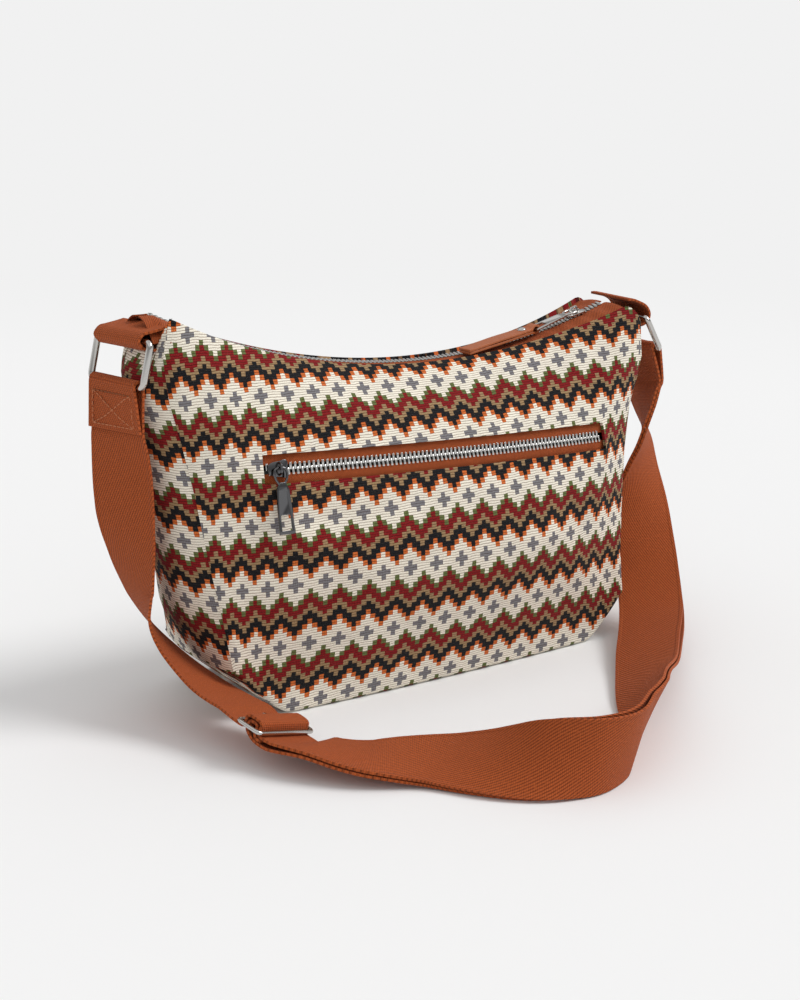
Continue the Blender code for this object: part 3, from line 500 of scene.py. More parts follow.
def arcMap(cells, columns, rows, middle, level):
    # Distance across from column middle, and down from the point of each column that level(i) marks.
    across = {}
    down = {}
    for j in range(rows + 1):
        across[middle, j] = 0.0
        for i in range(middle + 1, columns + 1):
            across[i, j] = across[i - 1, j] + (cells[i, j].co - cells[i - 1, j].co).length
        for i in range(middle - 1, -1, -1):
            across[i, j] = across[i + 1, j] - (cells[i, j].co - cells[i + 1, j].co).length
    for i in range(columns + 1):
        total = [0.0]
        for j in range(rows):
            total.append(total[-1] + (cells[i, j + 1].co - cells[i, j].co).length)
        mark = level(i)
        zero = 0.0
        for j in range(rows):
            high, low = cells[i, j].co.z, cells[i, j + 1].co.z
            if high >= mark > low:
                zero = total[j] + (total[j + 1] - total[j]) * (high - mark) / (high - low)
                break
        for j in range(rows + 1):
            down[i, j] = total[j] - zero
    return across, down


def vertsOf(geometry):
    return [item for item in geometry if isinstance(item, bmesh.types.BMVert)]


def writeMap(bm, places):
    layer = bm.loops.layers.uv.new("cloth")
    for face in bm.faces:
        for loop in face.loops:
            loop[layer].uv = places[loop.vert]


def placed(bm, xAxis, yAxis, zAxis, at):
    turn = Matrix((xAxis, yAxis, zAxis)).transposed().to_4x4()
    bmesh.ops.transform(bm, matrix=Matrix.Translation(at) @ turn, verts=bm.verts[:])
    return bm


def tube(bm, points, radius, closed=False, sides=3):
    curve = bpy.data.curves.new("wire", "CURVE")
    curve.dimensions = "3D"
    curve.bevel_depth = radius
    curve.bevel_resolution = sides
    curve.use_fill_caps = True
    spline = curve.splines.new("POLY")
    spline.points.add(len(points) - 1)
    for point, target in zip(spline.points, points):
        point.co = (*target, 1)
    spline.use_cyclic_u = closed
    obj = bpy.data.objects.new("wire", curve)
    scene.collection.objects.link(obj)
    bpy.context.view_layer.update()
    mesh = bpy.data.meshes.new_from_object(obj.evaluated_get(bpy.context.evaluated_depsgraph_get()))
    bm.from_mesh(mesh)
    bpy.data.objects.remove(obj)
    bpy.data.curves.remove(curve)
    bpy.data.meshes.remove(mesh)
    return bm


def hermite(a, b, c, d, t):
    return b + (c - a) * (0.5 * t) + (a * 2 - b * 5 + c * 4 - d) * (0.5 * t * t) + (b * 3 - a - c * 3
                                                                                    + d) * (0.5 * t ** 3)


def smoothPath(points, steps, closed=False):
    out = []
    count = len(points)
    last = count if closed else count - 1
    for i in range(last):
        if closed:
            four = [points[(i + k) % count] for k in (-1, 0, 1, 2)]
        else:
            four = [points[max(i - 1, 0)], points[i], points[i + 1], points[min(i + 2, count - 1)]]
        out += [hermite(*four, k / steps) for k in range(steps)]
    if not closed:
        out.append(points[-1])
    return out


def block(bm, x0, x1, y0, y1, z0, z1):
    centre = Vector(((x0 + x1) / 2, (y0 + y1) / 2, (z0 + z1) / 2))
    size = Matrix.Diagonal((x1 - x0, y1 - y0, z1 - z0, 1))
    bmesh.ops.create_cube(bm, size=1.0, matrix=Matrix.Translation(centre) @ size)


# Woven cloth

foldSettings = {
    # middle x and z, direction in degrees, half length, half width, depth (outwards is positive)
    "front": ((-62, 104, 4, 48, 7, -2.2), (-88, 92, -28, 30, 7, 1.8), (118, 168, 52, 34, 8, -3.2),
              (138, 150, 70, 30, 7, 2.4),
              (-128, 150, 82, 45, 9, 2.0), (-30, 152, -6, 60, 8, 1.6), (60, 148, 12, 50, 8, -1.5),
              (20, 60, 3, 90, 16, 1.6),
              (-100, 40, 35, 40, 10, -1.8), (105, 52, -48, 42, 10, -2.0), (70, 96, -6, 50, 8, 1.4)),
    "back": ((-60, 110, 20, 60, 12, -2.6), (70, 90, -25, 60, 12, 2.4), (0, 50, 4, 80, 14, -1.6),
             (110, 150, 50, 36, 9, -2.6),
             (-115, 140, -60, 40, 10, 2.2)),
}


def foldDepth(folds, x, z):
    total = 0.0
    for fx, fz, angle, length, width, depth in folds:
        a = math.radians(angle)
        along = (x - fx) * math.cos(a) + (z - fz) * math.sin(a)
        across = (z - fz) * math.cos(a) - (x - fx) * math.sin(a)
        total += depth * math.exp(-(along / length) ** 2 - (across / width) ** 2)
    ripple = noise.noise(Vector((x * 0.028, z * 0.04, 3.1))) * 1.6 + noise.noise(Vector((x * 0.075, z * 0.08,
                                                                                         8.7))) * 0.5
    return total + ripple


def frontCloth():
    columns, rows = 150, 150
    colKnots = ((0, -1.0), (20, -0.74), (130, 0.74), (150, 1.0))
    lipUp, lipLow, foot = 30, 36, 112
    p = pocketShape

    def lips(u):
        reach = max(-p["halfLength"], min(p["halfLength"], u * 148.6))
        c, run, up, out = zipFrame(reach)
        edges = []
        for side in (1, -1):
            lip = c + up * p["halfHeight"] * side
            x = u * halfWidth(u, 0.3)
            s = 1 - (lip.z - 0.045 * (x - reach)) / (topHeight(x) - baseHeight(x) * 0.3)
            edges.append((s, lip - panelPoint(u, s)))
        return edges

    def place(i, j):
        u = between(colKnots, i)
        (sUp, shiftUp), (sLow, shiftLow) = lips(u)
        if j <= foot:
            s = between(((0, 0.0), (lipUp, sUp), (lipLow, sLow), (foot, 1.0)), j)
            point = panelPoint(u, s)
            fade = 1 - smoothStep(0.74, 0.96, abs(u))
            if s <= sUp:
                pull = shiftUp * smoothStep(-0.05, sUp, s)
            elif s >= sLow:
                pull = shiftLow * (1 - smoothStep(sLow, sLow + 0.25, s))
            else:
                pull = shiftUp.lerp(shiftLow, (s - sUp) / (sLow - sUp))
            point += pull * fade
            soft = math.sin(math.pi * min(1, s * 1.02)) ** 0.5 * (1 - smoothStep(0.86, 1.0, abs(u)))
            near = abs(j - (lipUp + lipLow) / 2)
            calm = smoothStep(4, 16, near) if abs(u) < 0.8 else 1.0
            point.y -= foldDepth(foldSettings["front"], point.x, point.z) * soft * calm * 0.8
            point.y += 1.4 * smoothStep(0.975, 1.0, abs(u))
            return point
        f = (j - foot) / (rows - foot)
        depth = 46.0 - 4.0 * u * u
        x = u * halfWidth(u, 1) * (1 + 0.05 * abs(u) ** 6 * math.sin(math.pi * f))
        y = -depth + (1 + 0.92) * depth * f
        return Vector((x, y, baseHeight(u * halfWidth(u, 1)) + 0.15))

    bm, cells = mappedSheet(columns, rows, place)
    across, down = arcMap(cells, columns, rows, 75, lambda i: 104.0 - 2.0 * between(colKnots, i) ** 2)
    writeMap(bm, {cells[key]: (across[key], down[key] + 66.0) for key in cells})
    near = [cells[i, j] for i in range(columns + 1) for j in range(foot - 4, foot + 5)]
    for turn in range(5):
        bmesh.ops.smooth_vert(bm, verts=near, factor=0.5, use_axis_x=False, use_axis_y=True, use_axis_z=True)
    for vert in near:
        vert.co.z = max(vert.co.z, 0.12)
    window = {cells[i, j] for i in range(20, 131) for j in range(lipUp, lipLow + 1)}
    bmesh.ops.delete(bm, geom=[f for f in bm.faces if all(v in window for v in f.verts)], context="FACES")
    rim = [e for e in bm.edges if e.is_boundary and all(v in window for v in e.verts)]
    turned = bmesh.ops.extrude_edge_only(bm, edges=rim)["geom"]
    for vert in vertsOf(turned):
        c, run, up, out = zipFrame(max(-112, min(112, vert.co.x)))
        vert.co -= out * 1.9
    topRim = [e for e in bm.edges if e.is_boundary
              and all(v.co.z > topHeight(v.co.x) - 0.5 and abs(v.co.x) < 160 for v in e.verts)
              and min(v.co.z for v in e.verts) > 150]
    turned = bmesh.ops.extrude_edge_only(bm, edges=topRim)["geom"]
    for vert in vertsOf(turned):
        vert.co += Vector((0, 1.6, -3.0))
    bmesh.ops.recalc_face_normals(bm, faces=bm.faces[:])
    return finishPiece("frontCloth", bm, mats["woven"], "bag", ["front_panel"],
                       wall=bodyShape["clothThickness"])


def backCloth():
    columns, rows = 110, 80

    def place(i, j):
        u = -1 + 2 * i / columns
        s = j / rows
        point = panelPoint(u, s, back=True)
        soft = math.sin(math.pi * min(1, s * 1.02)) ** 0.5 * (1 - smoothStep(0.86, 1.0, abs(u)))
        point.y += foldDepth(foldSettings["back"], point.x, point.z) * soft * 0.9
        point.y -= 1.4 * smoothStep(0.975, 1.0, abs(u))
        point.z -= bodyShape["cornerDrop"] * smoothStep(0.93, 1.0, -u) * (1 - smoothStep(0.0, 0.12, s))
        return point

    bm, cells = mappedSheet(columns, rows, place)
    across, down = arcMap(cells, columns, rows, 55, lambda i: 104.0)
    writeMap(bm, {cells[key]: (-across[key] + 4.0, down[key] + 66.0) for key in cells})
    topRim = [e for e in bm.edges if e.is_boundary
              and all(v in {cells[i, 0] for i in range(columns + 1)} for v in e.verts)]
    turned = bmesh.ops.extrude_edge_only(bm, edges=topRim)["geom"]
    for vert in vertsOf(turned):
        vert.co += Vector((0, -1.6, -3.0))
    bmesh.ops.reverse_faces(bm, faces=bm.faces[:])
    return finishPiece("backCloth", bm, mats["woven"], "bag", ["back_panel"],
                       wall=bodyShape["clothThickness"])


def endCloth(name, side, bulge, dip, node):
    columns, rows = 44, 90

    def place(i, j):
        w, s = i / columns, j / rows
        front = panelPoint(side, s) + Vector((0, 1.4, 0))
        back = panelPoint(side, s, back=True) - Vector((0, 1.4, 0))
        point = front.lerp(back, w)
        arch = max(math.sin(math.pi * w), 0)
        point.x += side * between(bulge, s) * arch ** 0.8
        point.z -= dip * min(1.0, 6 * w, 6 * (1 - w)) * max(0.0, 1 - s / 0.35)
        crease = noise.noise(Vector((w * 2.2, s * 5.0,
                                     5.0 + side))) * 2.6 + noise.noise(Vector((w * 5, s * 12, 2.0))) * 0.9
        point.x += side * crease * arch * math.sin(math.pi * s) ** 0.6
        point.x -= side * 1.2 * (1 - smoothStep(0.0, 0.05, min(w, 1 - w)))
        if side < 0:
            point.z -= bodyShape["cornerDrop"] * smoothStep(0.85, 1.0, w) * (1 - smoothStep(0.0, 0.12, s))
        return point

    bm, cells = mappedSheet(columns, rows, place)
    across, down = arcMap(cells, columns, rows, 0, lambda i: 96.0)
    writeMap(bm, {cells[key]: (-side * across[key] - 5.0, down[key] + 66.0) for key in cells})
    if side < 0:
        bmesh.ops.reverse_faces(bm, faces=bm.faces[:])
    return finishPiece(name, bm, mats["woven"], "bag", [node],
                       wall=bodyShape["clothThickness"])


frontCloth()
backCloth()
endCloth("leftEndCloth", -1, bodyShape["leftBulge"], 17.0, "left_gusset")
endCloth("rightEndCloth", 1, bodyShape["rightBulge"], 4.5, "right_gusset")
for nodeName in ("lining", "pocket_pouch"):
    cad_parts[nodeName].material_slots[0].material = mats["lining"]
print("woven cloth sewn")


# Zips

zipSettings = {"pitch": 2.6, "toothLength": 1.4, "toothIn": -0.55, "toothOut": 3.1, "toothHeight": 2.1,
               "tapeWall": 0.7}


def zipTeeth(name, frameAt, low, high, sign, mat, node, phase):
    z = zipSettings
    bm = bmesh.new()
    x = low + phase
    while x < high:
        c, run, across, out = frameAt(x)
        tooth = bmesh.new()
        block(tooth, -z["toothLength"] / 2, z["toothLength"] / 2, z["toothIn"], z["toothOut"],
              -z["toothHeight"] / 2,
              z["toothHeight"] / 2)
        for vert in tooth.verts:
            if vert.co.y < 0:
                vert.co.x *= 0.8
                vert.co.z *= 0.72
        placed(tooth, run, across * sign, out, c)
        mesh = bpy.data.meshes.new("tooth")
        tooth.to_mesh(mesh)
        tooth.free()
        bm.from_mesh(mesh)
        bpy.data.meshes.remove(mesh)
        x += z["pitch"]
    bmesh.ops.recalc_face_normals(bm, faces=bm.faces[:])
    return finishPiece(name, bm, mat, "bag", [node], bevel=0.22, sharp=40)


def topTape(name, sign, node):
    columns, rows = 170, 7
    low, high = -157.0, 140.5

    def place(i, j):
        x = low + (high - low) * i / columns
        f = j / rows
        z = topFrame(max(-150, min(139, x)))[0].z
        outer = abs(panelPoint(max(-1, min(1, x / 150.0)), 0).y) - 0.9
        if x < -150:
            outer = 17.5
        pucker = math.sin(x * 0.55) * 0.5 * math.sin(math.pi * f) * (0.4 + smoothStep(60, 130, x))
        y = 2.2 + (outer - 2.2) * f
        return Vector((x, sign * y, z - 2.2 * f ** 1.3 + pucker - 9.0 * f * f * smoothStep(136, 152, -x)))

    bm, cells = mappedSheet(columns, rows, place)
    writeMap(bm, {cells[i, j]: (i * (high - low) / columns, j * 1.6 - 5.0) for i, j in cells})
    if sign > 0:
        bmesh.ops.reverse_faces(bm, faces=bm.faces[:])
    bmesh.ops.recalc_face_normals(bm, faces=bm.faces[:])
    return finishPiece(name, bm, mats["tape"], "bag", [node], wall=zipSettings["tapeWall"],
                       offset=0.0)


def pocketTape(name, sign, node):
    columns, rows = 120, 6
    reach = pocketShape["halfLength"] + 1.2

    def place(i, j):
        c, run, up, out = insetFrame(-reach + 2 * reach * i / columns)
        f = j / rows
        a = 2.2 + (9.3 - 2.2) * f
        return c + up * a * sign - out * (1.6 * max(0.0, f - 0.4) ** 1.5 + 0.15 * math.sin(i * 0.9) * f)

    bm, cells = mappedSheet(columns, rows, place)
    writeMap(bm, {cells[i, j]: (i * 2 * reach / columns, sign * j * 1.2) for i, j in cells})
    bmesh.ops.recalc_face_normals(bm, faces=bm.faces[:])
    return finishPiece(name, bm, mats["tape"], "bag", [node], wall=zipSettings["tapeWall"],
                       offset=0.0)


topTape("topTapeFront", -1, "top_tape_front")
topTape("topTapeBack", 1, "top_tape_back")
pocketTape("pocketTapeUpper", 1, "pocket_tape_upper")
pocketTape("pocketTapeLower", -1, "pocket_tape_lower")
zipTeeth("topTeethFront", topFrame, topZip["low"], topZip["high"], -1, mats["nickel"],
         "top_teeth_front", 0.6)
zipTeeth("topTeethBack", topFrame, topZip["low"], topZip["high"], 1, mats["nickel"],
         "top_teeth_back", 1.9)
zipTeeth("pocketTeethUpper", insetFrame, -108.0, 108.0, 1, mats["zipSteel"], "pocket_teeth_upper",
         0.6)
zipTeeth("pocketTeethLower", insetFrame, -108.0, 108.0, -1, mats["zipSteel"],
         "pocket_teeth_lower", 1.9)
print("zips closed")


# Sliders and pulls

pullSettings = {"thickness": 1.2, "length": 33.0, "dip": math.radians(13.4), "yaw": math.radians(5.0),
                "leatherDip": math.radians(8.3), "leatherThickness": 1.3, "leatherLength": 52.0,
                "leatherWidth": 9.5, "pocketLean": 0.28}


def sliderMesh(bail, across):
    # Two rounded shields, a post between them and a bowed loop on top
    bm = bmesh.new()
    outline = ((-5.6, 0.0), (-5.0, 2.4), (-2.6, 3.6), (0.8, 4.0), (3.8, 4.6), (5.5, 3.2), (5.0, 0.0),
               (5.5, -3.2), (3.8, -4.6), (0.8, -4.0), (-2.6, -3.6), (-5.0, -2.4))
    points = smoothPath([Vector((x, y, 0)) for x, y in outline], 4, closed=True)
    for level in (1.45, -2.35):
        ring = [bm.verts.new(p + Vector((0, 0, level))) for p in points]
        face = bm.faces.new(ring)
        top = bmesh.ops.extrude_face_region(bm, geom=[face])["geom"]
        moved = vertsOf(top)
        bmesh.ops.translate(bm, vec=(0, 0, 0.9), verts=moved)
    block(bm, 2.6, 4.4, -0.2, 0.2, -1.5, 1.5)
    bmesh.ops.recalc_face_normals(bm, faces=bm.faces[:])
    high = bail + 1.7
    bow = [(-2.9, 2.2), (-2.9, bail * 0.75), (-2.0, high - 0.1), (0, high + 0.1), (2.0, high - 0.1),
           (2.9, bail * 0.75), (2.9, 2.2)]
    path = [Vector((0, a, b)) if across else Vector((a, 0, b)) for a, b in bow]
    return tube(bm, smoothPath(path, 4), 0.62)


def pullMesh():
    # A horseshoe loop, a neck, and a plate that widens towards its open window
    p = pullSettings
    bm = bmesh.new()
    bmesh.ops.create_grid(bm, x_segments=5, y_segments=3, size=1)
    xs = (7.0, 9.4, 11.0, 23.4, 31.2, p["length"])
    halves = (1.5, 2.9, 3.5, 4.0, 4.3, 4.3)
    window = None
    for vert in bm.verts:
        i = round((vert.co.x + 1) / 2 * 5)
        j = round((vert.co.y + 1) / 2 * 3)
        vert.co = Vector((xs[i], halves[i] * (-1, -0.66, 0.66, 1)[j], -p["thickness"] / 2))
    for face in bm.faces[:]:
        middle = face.calc_center_median()
        if xs[3] < middle.x < xs[4] and abs(middle.y) < 1:
            window = face
    bmesh.ops.delete(bm, geom=[window], context="FACES_ONLY")
    bmesh.ops.recalc_face_normals(bm, faces=bm.faces[:])
    solid = bmesh.ops.extrude_face_region(bm, geom=bm.faces[:])["geom"]
    bmesh.ops.translate(bm, vec=(0, 0, p["thickness"]), verts=vertsOf(solid))
    bmesh.ops.recalc_face_normals(bm, faces=bm.faces[:])
    upper = [f for f in bm.faces if f.normal.z > 0.9 and 12 < f.calc_center_median().x < 23
             and abs(f.calc_center_median().y) < 1]
    bmesh.ops.inset_individual(bm, faces=upper, thickness=0.45, depth=-0.28, use_even_offset=True)
    shoe = [(7.6, -1.6), (5.2, -3.0), (2.6, -3.4), (0.4, -2.9), (-0.35, -1.2), (-0.35, 1.2), (0.4, 2.9),
            (2.6, 3.4), (5.2, 3.0), (7.6, 1.6)]
    return tube(bm, smoothPath([Vector((a, b, 0)) for a, b in shoe], 4), 0.66)


def topPullFrame():
    c, run, back, up = topFrame(topZip["sliderX"])
    p = pullSettings
    point = Vector((-math.cos(p["dip"]) * math.cos(p["yaw"]), -math.cos(p["dip"]) * math.sin(p["yaw"]),
                    -math.sin(p["dip"])))
    side = Vector((math.sin(p["yaw"]), -math.cos(p["yaw"]), 0))
    return c + up * topZip["bail"], point, side, point.cross(side)


def bandSheet(stations, columns=8):
    # A flat band through (middle, across, width) stations, its map along and across in millimetres
    count = len(stations) - 1
    run = [0.0]
    for first, second in zip(stations, stations[1:]):
        run.append(run[-1] + (second[0] - first[0]).length)

    def place(i, j):
        c, w, width = stations[j]
        return c + w * width * (i / columns - 0.5)

    bm, cells = mappedSheet(columns, count, place)
    writeMap(bm, {cells[i, j]: (run[j], stations[j][2] * (i / columns - 0.5)) for i, j in cells})
    return bm


def topPull():
    pivot, point, side, up = topPullFrame()
    finishPiece("topPullPlate", placed(pullMesh(), point, side, up, pivot), mats["nickel"], "top_pull_plate",
                ["top_pull_plate"], bevel=0.2, sharp=35)
    p = pullSettings
    bar = pivot + point * (p["length"] - 1)
    ahead = Vector((-math.cos(p["leatherDip"]) * math.cos(p["yaw"]),
                    -math.cos(p["leatherDip"]) * math.sin(p["yaw"]),
                    -math.sin(p["leatherDip"])))
    above = ahead.cross(side)
    gap = p["leatherThickness"] / 2 + 0.12
    wide, narrow = p["leatherWidth"], 5.4
    path = [(p["leatherLength"], gap, wide), (40, gap, wide), (28, gap + 0.2, wide), (16, gap, wide),
            (8, gap, wide),
            (4.8, gap + 0.1, wide * 0.95), (3.0, gap + 0.8, narrow + 1.2), (1.3, 1.95, narrow),
            (-0.4, 1.95, narrow),
            (-1.6, 1.1, narrow), (-1.95, 0.0, narrow), (-1.6, -1.1, narrow), (-0.4, -1.95, narrow),
            (1.3, -1.95, narrow),
            (3.0, -gap - 0.8, narrow + 1.2), (4.8, -gap - 0.1, wide * 0.95), (8, -gap, wide),
            (16, -gap, wide),
            (28, -gap - 0.1, wide), (40, -gap, wide), (p["leatherLength"], -gap, wide)]
    stations = [(bar + ahead * q.x + above * q.y, side, q.z) for q in smoothPath([Vector(v) for v in path],
                                                                                 3)]
    finishPiece("pullLeather", bandSheet(stations), mats["leather"], "top_pull_leather",
                ["top_pull_leather"],
                wall=p["leatherThickness"], offset=0.0, bevel=0.18, sharp=60)
    dome = bmesh.new()
    bmesh.ops.create_uvsphere(dome, u_segments=24, v_segments=12, radius=2.5)
    bmesh.ops.scale(dome, vec=(1, 1, 0.5), verts=dome.verts[:])
    placed(dome, ahead, side, above, bar + ahead * 9 + above * (gap + p["leatherThickness"] / 2 + 0.1))
    finishPiece("pullRivet", dome, mats["nickel"], "top_pull_leather", ["top_pull_rivet"])


def sliders():
    c, run, back, up = topFrame(topZip["sliderX"])
    finishPiece("topSliderBody", placed(sliderMesh(topZip["bail"], False), run, back, up, c), mats["nickel"],
                "top_slider",
                ["top_slider"], bevel=0.3, sharp=35)
    c, run, up, out = insetFrame(pocketShape["sliderX"])
    finishPiece("pocketSliderBody", placed(sliderMesh(pocketShape["bail"], True), run, up, out, c),
                mats["gunmetal"],
                "pocket_slider", ["pocket_slider"], bevel=0.3, sharp=35)
    pivot = c + out * pocketShape["bail"]
    hang = Vector((run.z, 0, -run.x)).normalized()
    point = (hang - Vector((0, pullSettings["pocketLean"], 0))).normalized()
    side = (run - point * run.dot(point)).normalized()
    finishPiece("pocketPullPlate", placed(pullMesh(), point, side, point.cross(side), pivot),
                mats["gunmetal"], "pocket_pull",
                ["pocket_pull"], bevel=0.2, sharp=35)


topPull()
sliders()
print("sliders and pulls fitted")


# Rings, tabs, strap and adjuster

ringSettings = {
    "width": 42.0, "height": 22.5, "wire": 3.6, "corner": 3.2,
    "left": (Vector((-164.0, 0.0, 197.0)), Vector((0.22, -0.975, 0.0)).normalized(), math.radians(15.0), -1),
    "right": (Vector((156.5, 0.0, 182.0)), Vector((-0.05, -1.0, 0.0)).normalized(), math.radians(29.0), 1),
}
strapSettings = {
    "thickness": 1.4, "width": 37.0, "tabWidth": 36.0, "layerHalf": 1.1,
    # Where the two layers part: x, reach along x and how far
    "partings": ((112, 24, 1.4), (-15, 25, 0.7)),
    "adjuster": Vector((-131.0, -86.0, 15.5)), "adjusterAcross": Vector((-0.89, -0.34, 0.30)),
    "adjusterRun": Vector((0.30, -0.90, -0.25)), "adjusterLength": 45.0, "adjusterHeight": 17.0,
    "adjusterWire": 2.2,
    # Middle of the webbing and the direction across it, hand to hand from the left ring to the right one
    "leftRun": (
        ((-172.0, -2.0, 152.0), (0.31, -0.94, 0.08)), ((-171.0, -3.0, 130.0), (0.45, -0.89, 0.08)),
        ((-169.0, -3.0, 107.0), (0.42, -0.90, 0.07)), ((-166.5, -2.0, 88.0), (0.25, -0.97, 0.04)),
        ((-163.5, -2.0, 69.0), (0.0, -1.0, 0.08)), ((-159.5, -8.0, 51.0), (-0.38, -0.89, 0.25)),
        ((-152.5, -22.0, 36.0), (-0.68, -0.63, 0.36)), ((-143.5, -43.0, 24.0), (-0.82, -0.48, 0.28)),
        ((-136.5, -65.0, 19.0), (-0.88, -0.38, 0.26))),
    "rightRun": (
        ((-122.3, -110.0, 10.6), (-0.88, -0.40, 0.22)), ((-106.5, -129.0, 8.4), (-0.84, -0.53, 0.04)),
        ((-80.3, -147.0, 7.5), (-0.82, -0.52, -0.24)), ((-64.0, -172.0, 12.0), (-0.66, -0.50, -0.52)),
        ((-54.0, -187.0, 15.5), (-0.42, -0.47, -0.76)), ((-43.0, -199.0, 18.4), (-0.17, -0.25, -0.95)),
        ((-29.0, -206.5, 19.2), (-0.04, -0.02, -1.0)), ((-14.0, -206.0, 19.0), (-0.07, 0.14, -0.985)),
        ((-1.0, -200.5, 18.8), (-0.11, 0.19, -0.974)), ((13.0, -189.0, 18.6), (-0.14, 0.24, -0.96)),
        ((30.0, -175.0, 18.2), (-0.12, 0.45, -0.885)), ((53.0, -147.0, 14.8), (-0.10, 0.76, -0.64)),
        ((78.0, -120.0, 12.2), (-0.25, 0.86, -0.45)), ((101.0, -95.0, 12.2), (-0.55, 0.75, -0.36)),
        ((121.0, -74.0, 14.2), (-0.72, 0.63, -0.30)), ((138.0, -54.0, 19.5), (-0.77, 0.60, -0.20)),
        ((152.0, -33.0, 36.0), (-0.83, 0.54, -0.10)), ((161.0, -16.0, 62.0), (-0.96, 0.26, -0.03)),
        ((166.0, -10.0, 90.0), (-0.92, -0.38, 0.05)), ((168.0, -9.0, 110.0), (-0.70, -0.71, 0.10)),
        ((169.5, -6.0, 127.0), (-0.38, -0.92, 0.06)), ((170.0, -3.0, 142.0), (-0.08, -0.99, 0.0))),
}


def ringFrame(key):
    axis, lean, side = ringSettings[key][1:]
    outward = Vector((axis.y, -axis.x, 0)) if side < 0 else Vector((-axis.y, axis.x, 0))
    return outward, outward * math.sin(lean) - Vector((0, 0, math.cos(lean)))


def wireRing(key, body, node):
    r = ringSettings
    top, axis = r[key][:2]
    down = ringFrame(key)[1]
    points = []
    for sa, sd, start in ((1, 1, 0), (-1, 1, 90), (-1, -1, 180), (1, -1, 270)):
        for k in range(7):
            a = math.radians(start + 15 * k)
            ca = sa * (r["width"] / 2 - r["corner"]) + r["corner"] * math.cos(a)
            cd = r["height"] / 2 + sd * (r["height"] / 2 - r["corner"]) + r["corner"] * math.sin(a)
            points.append(top + axis * ca + down * cd)
    finishPiece(key + "WireRing", tube(bmesh.new(), points, r["wire"] / 2, closed=True, sides=5),
                mats["nickel"], body,
                [node], sharp=60)


def tabBand(name, axis, path, node):
    points = smoothPath([Vector((x, 0, z)) for x, z in path], 4)
    stations = [(p, axis, strapSettings["tabWidth"]) for p in points]
    finishPiece(name, bandSheet(stations, 10), mats["webbing"], "bag", [node],
                wall=strapSettings["thickness"], offset=0.0, bevel=0.2, sharp=60)


def smoothRun(run, step=9.0):
    points = [Vector(c) for c, w in run]
    ways = [Vector(w).normalized() for c, w in run]
    out = []
    for i in range(len(points) - 1):
        before, after = max(i - 1, 0), min(i + 2, len(points) - 1)
        bend = (points[i] - points[before]).angle(points[i + 1] - points[i], 0.0) + ways[i].angle(ways[i + 1])
        count = max(1, round((points[i + 1] - points[i]).length / step), round(bend / 0.16))
        for k in range(count):
            t = k / count
            out.append((hermite(points[before], points[i], points[i + 1], points[after], t),
                        hermite(ways[before], ways[i], ways[i + 1], ways[after], t).normalized()))
    out.append((points[-1], ways[-1]))
    return out


def framed(stations):
    out = []
    for k, (c, w) in enumerate(stations):
        run = (stations[min(k + 1, len(stations) - 1)][0] - stations[max(k - 1, 0)][0]).normalized()
        w = (w - run * w.dot(run)).normalized()
        out.append((c, w, run.cross(w), strapSettings["width"]))
    return out


def turnRound(centre, across, start, end, radius, first, last, steps):
    out = []
    for k in range(steps + 1):
        a = math.radians(first + (last - first) * k / steps)
        radial = start * math.cos(a) + end * math.sin(a)
        out.append((centre + radial * radius, across, radial, strapSettings["width"] - 1))
    return out


def adjusterTurn():
    across = strapSettings["adjusterAcross"].normalized()
    run = strapSettings["adjusterRun"].normalized()
    run = (run - across * run.dot(across)).normalized()
    return across, run, across.cross(run)


